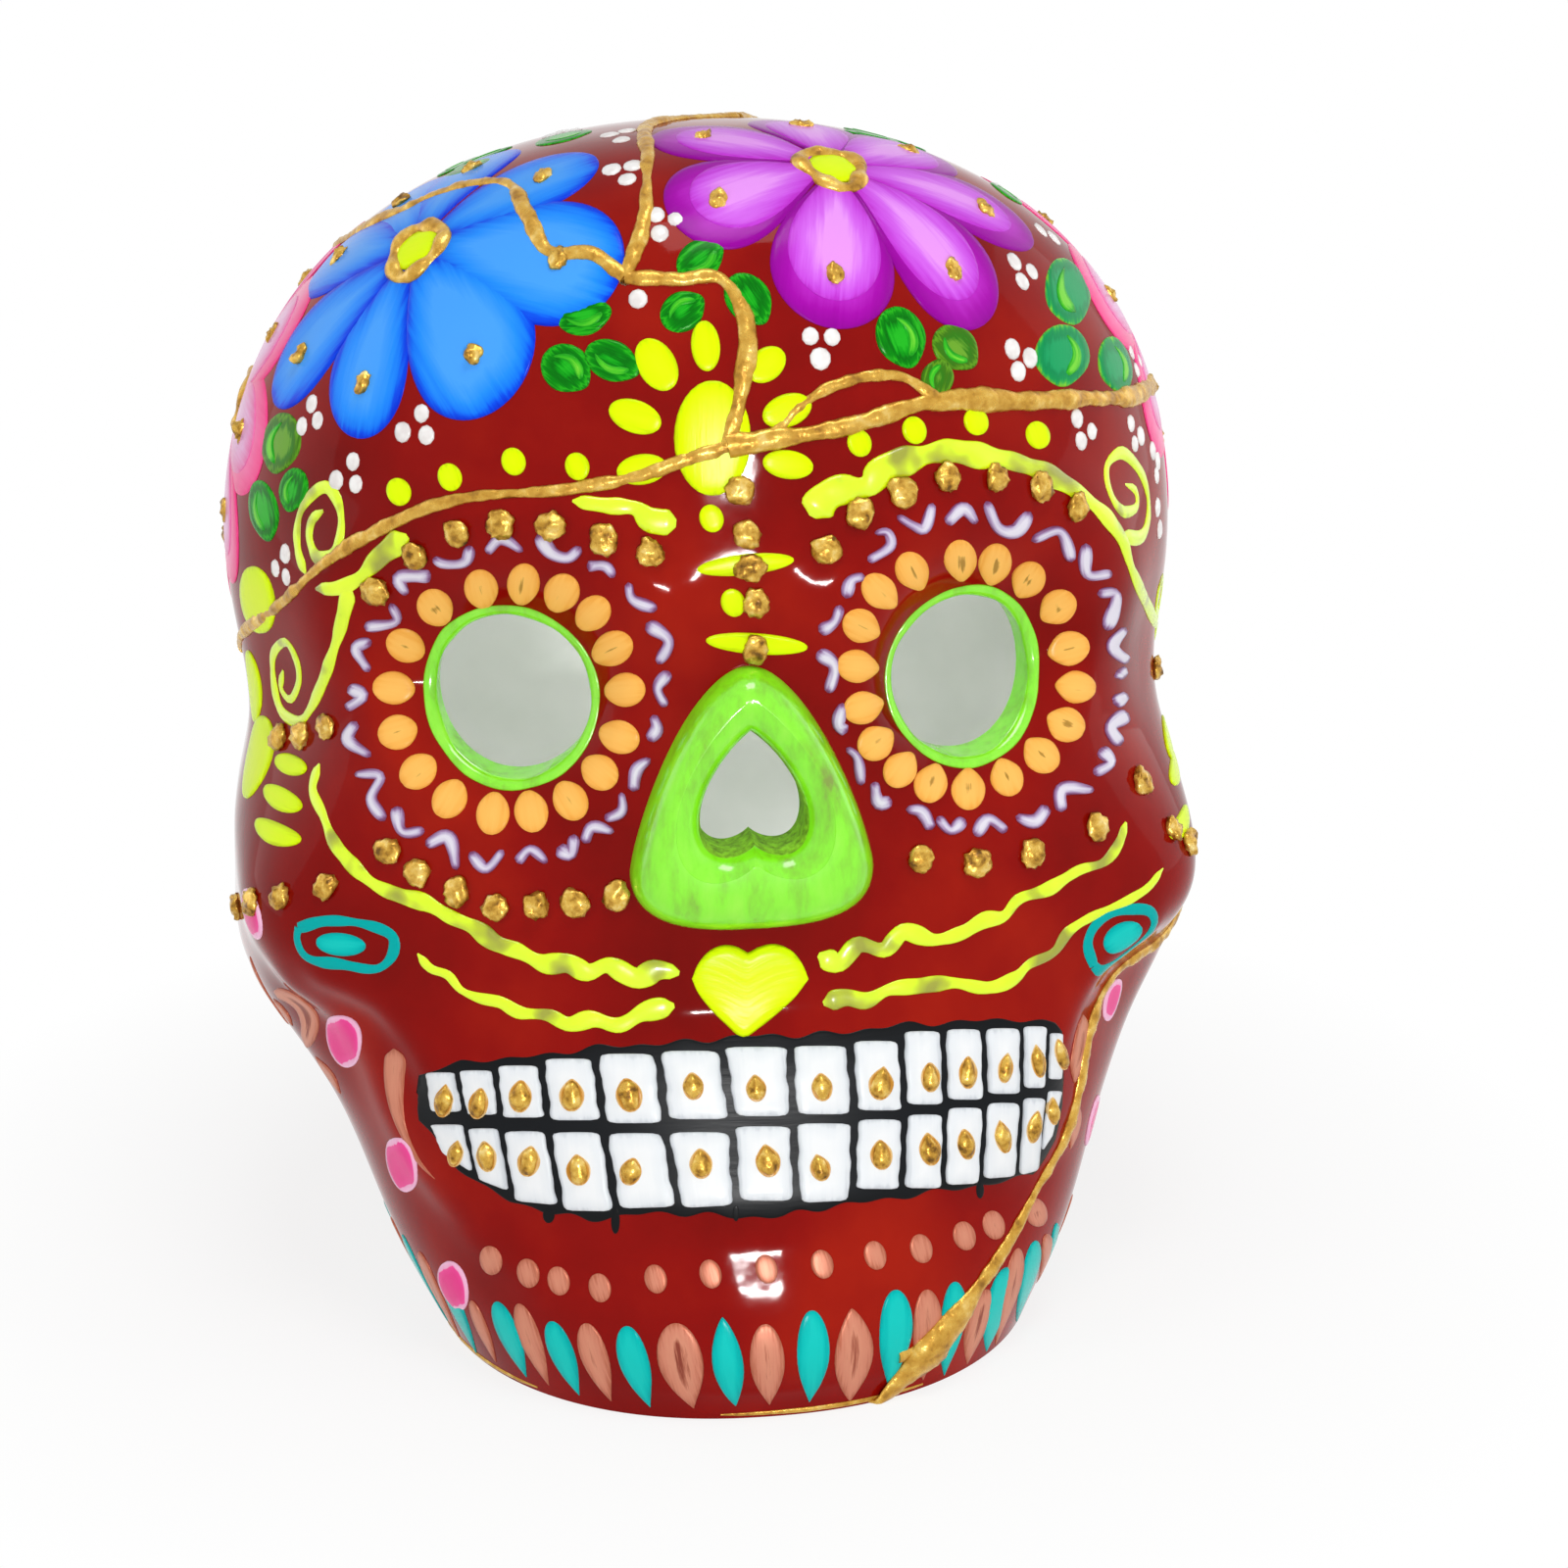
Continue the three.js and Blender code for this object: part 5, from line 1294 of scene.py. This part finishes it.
CHIN_DOTS = [(501, 1286), (539, 1299), (570, 1307), (612, 1314), (669, 1305), (725, 1300), (782, 1295),
             (839, 1290), (893, 1281), (940, 1274), (984, 1261), (1014, 1250), (1057, 1237)]
# Tongues, copper and teal in turn: the top and the foot in picture pixels, then the half width.
TONGUES = [(482, 1327, 503, 1386, 5), (508, 1328, 534, 1402, 10), (530, 1330, 557, 1411, 10),
           (563, 1348, 589, 1421, 12), (598, 1350, 621, 1428, 13), (639, 1353, 661, 1436, 14),
           (688, 1350, 706, 1440, 21), (737, 1344, 751, 1440, 15), (780, 1351, 788, 1439, 17),
           (828, 1337, 832, 1437, 16), (869, 1335, 875, 1433, 18), (913, 1316, 915, 1416, 16),
           (944, 1316, 950, 1408, 13), (973, 1308, 971, 1404, 11), (1004, 1316, 989, 1396, 10),
           (1024, 1294, 1011, 1385, 10), (1037, 1274, 1024, 1375, 7), (1053, 1268, 1046, 1354, 8),
           (1065, 1262, 1061, 1355, 5), (1076, 1250, 1071, 1329, 5)]
# Out of sight they go on round the foot: lowest and highest points and half width in millimetres, the others
# in degrees of turn.
TONGUE_LOW, TONGUE_HIGH, TONGUE_HALF = 0.7, 16.6, 2.7
TONGUE_PITCH, TONGUE_AFTER, TONGUE_BEFORE, TONGUE_LEAN = 7.0, 6, 5, 0.6
# A tongue is broadest at a share of its height, and is drawn a little slimmer and longer than it shows.
TONGUE_BROAD, TONGUE_SLIM, TONGUE_LONGER, TONGUE_WAIST_Z = 0.6, 0.9, 1.0, 8.0
POINTED_TONGUES = (7, 10)
CHIN_DOT_LENGTH, CHIN_DOT_WIDTH, CHIN_DOT_TURN = 30, 23, 75
TEAL_RING_HALF, OVAL_THICK = 5.5, 0.3
FOOT_LINES = [[(447, 1338), (480, 1364), (545, 1401)], [(735, 1441), (800, 1442), (870, 1438)]]
FOOT_LINE_Z, FOOT_LINE_HALF = 0.7, 0.42
FOOT_AXIS_Y = AXIS[0]
# Teal acrylic: opaque and even, a little darker at the rim.
teal_acrylic = paint("teal_acrylic", [(0.0, "#00A8A6"), (0.4, "#00BAB5"), (1.0, "#14C6BE")], 1.6, 0.8, 0.6)
# Pearl copper acrylic: mica in a thin binder, so it shimmers a little and darkens where it is rubbed through.
copper_acrylic = paint("pearl_copper_acrylic", [(0.0, "#B4664E"), (0.3, "#CE846C"), (0.7, "#D48E74"),
                                                (0.88, "#B26A54"),
                                                (1.0, "#8C4234")], 3.2, 0.35, 0.8, 0.34, 0.25)
# Candy pink acrylic: a pale pink oval with a strong pink one set into it.
candy_pink = paint("candy_pink_acrylic", [(0.0, "#F9C6E2"), (0.42, "#F7AFD6"), (0.5, "#F5489C"),
                                          (1.0, "#EE3A90")], 2.2, 1.0, 0.2)


def round_foot(sheet):
    """A sheet of turn in degrees from the face, and height, on the jaw above the foot."""
    turn = np.radians(sheet[:, 0])
    starts = np.column_stack([np.zeros(len(sheet)), np.full(len(sheet), FOOT_AXIS_Y), sheet[:, 1]])
    return cast(starts, np.column_stack([np.sin(turn), -np.cos(turn), np.zeros(len(sheet))]))


cheek_lines = [drawn_line(line, TEAL_RING_HALF, TEAL_RING_HALF, True, eased(np.mean(line, axis=0)))
               for line in TEAL_RINGS]
rings = draw_bead("teal_cheek_rings", cheek_lines, teal_acrylic, 0.25, 0.1, 3.0, 4)
brush("pink_ovals", [oval(eased((x, y)), (x, y), length, width, angle)
                     for x, y, length, width, angle in PINK_OVALS], candy_pink, OVAL_THICK)
copper = []
for line in COPPER:
    path = evenly(through(line, 10), 3.0)
    half = np.maximum(path[:, 2], 0)
    half[[0, -1]] = 0
    copper.append((eased(np.mean(path[:, :2], axis=0)), path[:, :2], half))
copper += [oval(seen, dot, CHIN_DOT_LENGTH, CHIN_DOT_WIDTH, CHIN_DOT_TURN) for dot in CHIN_DOTS]
teal = [oval(eased((x, y)), (x, y), length, width, angle) for x, y, length, width, angle in TEAL_MIDDLES]
drawn = np.array(TONGUES, float)
tops, middles = seen(drawn[:, :2]), seen((drawn[:, :2] + drawn[:, 2:4]) / 2)
ways = (view_place - middles[0]) / np.linalg.norm(view_place - middles[0], axis=1, keepdims=True)
facing = np.maximum(np.sum(ways * middles[1], axis=1), 1 / EASE)
depths = (middles[0] - view_place) @ -view_back
halves = TONGUE_SLIM * drawn[:, 4] / facing * depths / FOCAL_PIXELS
top_turns, turns = (np.degrees(np.arctan2(p[:, 0], FOOT_AXIS_Y - p[:, 1])) for p in (tops[0], middles[0]))
tongues = []
for turn, top_turn, middle, top, half in zip(turns, top_turns, middles[0], tops[0], halves):
    foot = max(TONGUE_LOW, 2 * middle[2] - top[2] - TONGUE_LONGER)
    tongues.append((2 * turn - top_turn, foot, top_turn, top[2], half))
away_turns = np.arange(turns[-1] + TONGUE_AFTER, turns[0] + 360 - TONGUE_BEFORE, TONGUE_PITCH)
tongues += [(turn + TONGUE_LEAN, TONGUE_LOW, turn, TONGUE_HIGH, TONGUE_HALF) for turn in away_turns]
up = (np.sin(np.linspace(-np.pi / 2, np.pi / 2, 21)) + 1) / 2
blunt = np.sqrt(np.maximum(0, 1 - ((up - TONGUE_BROAD) / (1 - TONGUE_BROAD)) ** 2))
rounded = np.where(up > TONGUE_BROAD, blunt, np.sin(np.pi / 2 * np.minimum(up / TONGUE_BROAD, 1)))
pointed = np.sin(np.pi * up ** 1.1) ** 0.75
for k, (foot_turn, foot, top_turn, top, half) in enumerate(tongues):
    waist = round_foot(np.array([[top_turn, TONGUE_WAIST_Z]]))[0][0]
    reach = np.linalg.norm(waist - [0, FOOT_AXIS_Y, TONGUE_WAIST_Z])
    path = np.column_stack([foot_turn + (top_turn - foot_turn) * up ** 0.8, foot + (top - foot) * up])
    shape = pointed if k in POINTED_TONGUES else rounded
    colour_turn = copper if k % 2 == 0 else teal
    colour_turn.append((round_foot, path, np.degrees(half / reach) * shape))
brush("copper_dabs", copper, copper_acrylic, PAINT)

# Where the foot was wiped, a hair of gold was drawn along its edge in two stretches.
foot_lines = []
for line in FOOT_LINES:
    ends = seen(line)[0][[0, -1]]
    first, last = np.degrees(np.arctan2(ends[:, 0], FOOT_AXIS_Y - ends[:, 1]))
    swing = np.arange(first, last, 0.5)
    foot_lines.append((*round_foot(np.column_stack([swing, np.full(len(swing), FOOT_LINE_Z)])),
                       FOOT_LINE_HALF * np.sqrt(np.sin(np.linspace(0.1, 3.0, len(swing))))))
draw_bead("gold_foot_line", foot_lines, gold_resin, 0.5, 0.2, 2.0, 9)
brush("teal_dabs", teal, teal_acrylic, PAINT)


# White dots. Threes of white acrylic set with the end of a stick between flowers and leaves, each a small
# rounded bead that dried on the glaze.
WHITE_DOTS = [(624, 173), (646, 169), (640, 183), (669, 219), (690, 223), (673, 238), (651, 305), (827, 343),
              (849, 344), (837, 366), (1035, 267), (1053, 277), (1043, 287), (1033, 356), (1051, 365),
              (1039, 379), (1062, 235), (1075, 243), (1099, 427), (1114, 440), (1103, 450), (1154, 432),
              (1164, 445), (1158, 453), (1176, 460), (1181, 470), (1180, 485), (1181, 518), (1183, 540),
              (1154, 359), (1162, 369), (1160, 378), (318, 412), (308, 435), (324, 429), (360, 471),
              (343, 490), (363, 494), (430, 422), (411, 441), (435, 444), (291, 565), (281, 580), (292, 589),
              (622, 138), (640, 134), (634, 143)]
AWAY_DOTS = [(130, 60), (-100, 62), (140, 10), (-112, -4), (-160, 46), (150, 52), (110, 22), (-128, 46),
             (178, 14), (-60, 74), (70, 56)]
DOT_HALF, DOT_VARIES, DOT_SHAPE, DOTS_APART = 1.25, 0.3, [1.0, 1.05, 0.28], 1.9

# White dot acrylic: a rounded bead of paint, faintly grey where it is thin.
white_dot = mottled("white_dot_acrylic", [(0.35, "#E2DCDA"), (0.6, "#F3F1EF")], 2.0, {"Detail": 2.0},
                    {"Roughness": 0.22, "Coat Weight": 0.4, "Coat Roughness": 0.05})

# Dabs set on points: each point carries its outward normal and its three half sizes, the second one upright.
# The dab is a squashed ball, creased where the dough of resin was pinched off.
dab_tree, group, DAB_KEYS = new_geometry_tree("set_dabs", {
    "Crease": "Float", "Crease Size": "Float", "Detail": "Int", "Material": "Material"})
t = dab_tree
out, size = (node(t, "GeometryNodeInputNamedAttribute", {"Name": name},
                  data_type="FLOAT_VECTOR").outputs["Attribute"] for name in ("out", "size"))
ball = node(t, "GeometryNodeMeshIcoSphere", {
    "Radius": 1.0, "Subdivisions": group.outputs["Detail"]}).outputs["Mesh"]
turn = node(t, "FunctionNodeAlignRotationToVector", {"Vector": out}, axis="Z").outputs["Rotation"]
turn = node(t, "FunctionNodeAlignRotationToVector", {"Rotation": turn, "Vector": (0.0, 0.0, 1.0)}, axis="Y",
            pivot_axis="Z").outputs["Rotation"]
dabs = node(t, "GeometryNodeInstanceOnPoints", {
    "Points": group.outputs["Geometry"], "Instance": ball, "Rotation": turn, "Scale": size}).outputs[0]
dabs = node(t, "GeometryNodeRealizeInstances", {"Geometry": dabs}).outputs["Geometry"]
pitch = node(t, "ShaderNodeMath", {0: 1.0, 1: group.outputs["Crease Size"]}, operation="DIVIDE").outputs[0]
spot = node(t, "GeometryNodeInputPosition", {}).outputs[0]
creases = node(t, "ShaderNodeTexNoise", {
    "Vector": spot, "Scale": pitch, "Detail": 1.5, "Distortion": 2.0}).outputs["Fac"]
creases = node(t, "ShaderNodeMath", {0: creases, 1: 0.5}, operation="SUBTRACT").outputs[0]
creases = node(t, "ShaderNodeMath", {0: creases}, operation="ABSOLUTE").outputs[0]
creases = node(t, "ShaderNodeMath", {0: creases, 1: 0.1}, operation="SUBTRACT").outputs[0]
creases = node(t, "ShaderNodeMath", {0: creases, 1: group.outputs["Crease"]}, operation="MULTIPLY").outputs[0]
outward = node(t, "GeometryNodeInputNormal", {}).outputs[0]
push = node(t, "ShaderNodeVectorMath", {0: outward, "Scale": creases}, operation="SCALE").outputs[0]
dabs = node(t, "GeometryNodeSetPosition", {"Geometry": dabs, "Offset": push}).outputs["Geometry"]
dabs = node(t, "GeometryNodeSetShadeSmooth", {"Geometry": dabs}).outputs["Geometry"]
dabs = node(t, "GeometryNodeSetMaterial", {
    "Geometry": dabs, "Material": group.outputs["Material"]}).outputs[0]
node(t, "NodeGroupOutput", {"Geometry": dabs})


def set_dabs(name, places, normals, sizes, material, crease=0.0, crease_size=1.0, detail=2):
    """Dabs at places; sizes are half width, half length and half thickness in millimetres."""
    tops = to_row(places + normals * sizes[:, 2:])
    over = np.maximum(tops - np.array(cad_box[1]), np.array(cad_box[0]) - tops).max(axis=1)
    made = add_object(name, places - normals * np.maximum(over / MM, 0)[:, None], [])
    for key, values in (("out", np.asarray(normals)), ("size", sizes * MM)):
        made.data.attributes.new(key, "FLOAT_VECTOR", "POINT").data.foreach_set("vector", values.ravel())
    run_tree(made, dab_tree, DAB_KEYS, {
        "Crease": crease * MM, "Crease Size": crease_size * MM, "Detail": detail, "Material": material})
    trim(made)
    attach(made, "root")
    return made


rng = np.random.default_rng(5)
places, normals = seen(WHITE_DOTS)
for az, el in AWAY_DOTS:
    three = wrapped(az, el)(np.array([polar(angle, DOTS_APART) for angle in (30, 150, 270)]))
    places, normals = np.vstack([places, three[0]]), np.vstack([normals, three[1]])
wide = DOT_HALF + DOT_VARIES * rng.random((len(places), 1))
dots = set_dabs("white_dots", places, normals, wide * DOT_SHAPE, white_dot, 0.5, 2.0)


# Gold dabs. Pinches of the same gold resin pressed on as studs: round the eyes, down the nose, on the
# petals and one on every tooth.
GOLD_DABS = [(384, 603), (424, 567), (467, 544), (512, 535), (562, 537), (615, 551), (663, 564), (396, 869),
             (426, 890), (466, 910), (506, 926), (547, 924), (587, 922), (629, 914), (286, 753), (308, 751),
             (334, 742), (333, 905), (287, 916), (258, 921), (239, 925), (843, 562), (878, 524), (921, 501),
             (966, 488), (1016, 488), (1061, 497), (1098, 517), (1164, 798), (1118, 844), (1053, 870),
             (997, 880), (939, 876), (1196, 846), (1212, 859), (1185, 682), (755, 500), (762, 546),
             (766, 579), (771, 616), (771, 663)]
TOOTH_DABS = [(455, 1122), (490, 1125), (532, 1118), (584, 1117), (642, 1117), (707, 1108), (771, 1110),
              (838, 1109), (898, 1105), (948, 1099), (986, 1094), (1024, 1089), (1057, 1082), (1080, 1075),
              (467, 1176), (498, 1179), (541, 1184), (591, 1193), (644, 1195), (715, 1187), (783, 1184),
              (836, 1191), (898, 1178), (947, 1172), (984, 1167), (1021, 1159), (1053, 1149), (1072, 1133)]
# Half width, half length and half thickness of a stud, and how much of them a stud on a petal has.
STUD, STUD_VARIES, STUD_LIFT = [1.85, 1.95, 0.95], 0.25, 0.4
PETAL_STUD, PETAL_STUD_LIFT = [0.68, 0.78, 0.85], 0.3
places, normals = seen(GOLD_DABS)
places += normals * STUD_LIFT
petal_places, petal_normals = (np.vstack(part) for part in zip(*petal_dabs))
places = np.vstack([places, petal_places + petal_normals * PETAL_STUD_LIFT])
normals = np.vstack([normals, petal_normals])
sizes = (1.0 + STUD_VARIES * rng.random((len(places), 3))) * STUD
sizes[len(GOLD_DABS):] *= PETAL_STUD
# On the dabs and tooth drops: stops from dark brown painted shade to pale painted highlight.
gold_dab = bronze("crumpled_gold_resin", [
    (0.32, "#6C4810"), (0.42, "#B48428"), (0.56, "#DEB44E"), (0.78, "#FAE49A")], 2.0, 0.6, 0.4)
studs = set_dabs("gold_dabs", places, normals, sizes, gold_dab, 3.2, 3.4, 3)

# The drops on the teeth were touched on from a fine stick and drawn upwards, in a pool of amber varnish.
# Sizes in pixels, and how they narrow from column to column towards the corners of the mouth.
DROP_LENGTH, DROP_WIDTH, DROP_THICK, DROP_BED = 27, 20, 0.75, 0.6
POOL_LENGTH, POOL_WIDTH, POOL_THICK, POOL_BED = 31, 25, 0.05, 0.58
DROP_COLUMNS, DROP_SHARES = [440, 560, 900, 1080], [0.66, 1.0, 0.95, 0.5]
drops, pools = [], []
for x, y in TOOTH_DABS:
    lean, point, size = rng.uniform(-106, -74), rng.uniform(0.25, 0.7), rng.uniform(0.9, 1.15)
    narrow = np.interp(x, DROP_COLUMNS, DROP_SHARES)
    place, path, half = oval(seen, (x, y), DROP_LENGTH * size, DROP_WIDTH * size * narrow, lean, point)
    drops.append((place, path, half * (1 + 0.16 * np.sin(np.linspace(0, 9, len(path)) + x))))
    pools.append(oval(seen, (x, y), POOL_LENGTH * size, POOL_WIDTH * size * narrow, lean, point))
# Amber varnish: a thin clear brown film that pooled round the drops.
amber = paint("amber_varnish", [(0.0, "#E4C48A"), (0.4, "#C98F3A"), (1.0, "#A86C1C")], 0.8, 0.6, 0.3)
brush("amber_pools", pools, amber, POOL_THICK, 9, POOL_BED)
brush("gold_tooth_drops", drops, gold_dab, DROP_THICK, 11, DROP_BED, 1.5)


# Stage. A plain pale floor and a white backdrop under soft studio light, with a narrow lamp near the camera
# whose glints show the gloss.
FLOOR = 6000.0
# Near the skull the floor keeps more of its shadow: two distances, and the shares of white at them.
FLOOR_NEAR, FLOOR_FAR, FLOOR_NEAR_WHITE, FLOOR_FAR_WHITE = 70.0, 150.0, 0.82, 1.0
WORLD_LIGHT, WHITE = 0.3, 1.0
AIM = Vector((0, -10, 95))
# Lamps: place, width and height in millimetres, and power in watts.
LAMPS = {
    "front_softbox": ((60, -950, 165), 130, 18, 3.0),
    "left_softbox": ((-760, -420, 420), 260, 500, 1.5),
    "right_softbox": ((760, -360, 420), 260, 500, 1.5),
    "top_softbox": ((60, -300, 900), 360, 260, 2.2),
    "left_wall": ((-850, 330, 220), 640, 900, 1.2),
    "right_wall": ((850, 280, 220), 640, 900, 1.2),
}
# The side softboxes light the skull without showing in the glaze as large white patches.
UNMIRRORED = ("left_softbox", "right_softbox")
BULB_PLACE, BULB_RADIUS, BULB_POWER = (0, 0, 145), 12, 0.055


def seen_directly(tree):
    """1 for rays from the camera and for those that gloss or glass send on, and 0 for the rest."""
    path = node(tree, "ShaderNodeLightPath", {})
    direct = path.outputs["Is Camera Ray"]
    for kind in ("Is Glossy Ray", "Is Transmission Ray"):
        direct = node(tree, "ShaderNodeMath", {0: direct, 1: path.outputs[kind]},
                      operation="MAXIMUM").outputs[0]
    return direct


# White paper: matt under the lamps, and plain white to the eye, but for the skull's own shadow.
paper, tree = new_material("white_paper_floor")
where = node(tree, "ShaderNodeTexCoord", {}).outputs["Object"]
away = node(tree, "ShaderNodeVectorMath", {0: where}, operation="LENGTH").outputs["Value"]
fade = node(tree, "ShaderNodeMapRange", {
    "Value": away, "From Min": FLOOR_NEAR * MM, "From Max": FLOOR_FAR * MM, "To Min": FLOOR_NEAR_WHITE,
    "To Max": FLOOR_FAR_WHITE}).outputs["Result"]
share = node(tree, "ShaderNodeMath", {0: seen_directly(tree), 1: fade}, operation="MULTIPLY").outputs[0]
matt = node(tree, "ShaderNodeBsdfDiffuse", {"Color": colour("#F4F4F2")}).outputs["BSDF"]
bright = node(tree, "ShaderNodeEmission", {"Color": (1, 1, 1, 1), "Strength": WHITE}).outputs["Emission"]
mixed = node(tree, "ShaderNodeMixShader", {"Fac": share, 1: matt, 2: bright}).outputs["Shader"]
node(tree, "ShaderNodeOutputMaterial", {"Surface": mixed})
floor = add_object("floor", [(-FLOOR, -FLOOR, 0), (FLOOR, -FLOOR, 0), (FLOOR, FLOOR, 0), (-FLOOR, FLOOR, 0)],
                   [(0, 1, 2, 3)], finishes=[paper])

world = bpy.data.worlds.new("studio")
bpy.context.scene.world = world
world.use_nodes = True
tree = world.node_tree
tree.nodes.clear()
soft, plain = (node(tree, "ShaderNodeBackground", {"Color": (1, 1, 1, 1), "Strength": strength}).outputs[0]
               for strength in (WORLD_LIGHT, WHITE))
mixed = node(tree, "ShaderNodeMixShader", {"Fac": seen_directly(tree), 1: soft, 2: plain}).outputs[0]
node(tree, "ShaderNodeOutputWorld", {"Surface": mixed})

# A small bulb inside the skull keeps its white walls from going black behind the holes.
bulb = bpy.data.lights.new("inside_bulb", "POINT")
bulb.energy, bulb.shadow_soft_size = BULB_POWER, BULB_RADIUS * MM
made = bpy.data.objects.new("inside_bulb", bulb)
bpy.context.scene.collection.objects.link(made)
made.location = Vector(BULB_PLACE) * MM
made.visible_camera = False
for name, (place, wide, tall, power) in LAMPS.items():
    lamp = bpy.data.lights.new(name, "AREA")
    lamp.shape, lamp.size, lamp.size_y, lamp.energy = "RECTANGLE", wide * MM, tall * MM, power
    made = bpy.data.objects.new(name, lamp)
    bpy.context.scene.collection.objects.link(made)
    made.visible_glossy = name not in UNMIRRORED
    made.location = Vector(place) * MM
    made.rotation_mode = "QUATERNION"
    made.rotation_quaternion = (AIM * MM - made.location).to_track_quat("-Z", "Y")
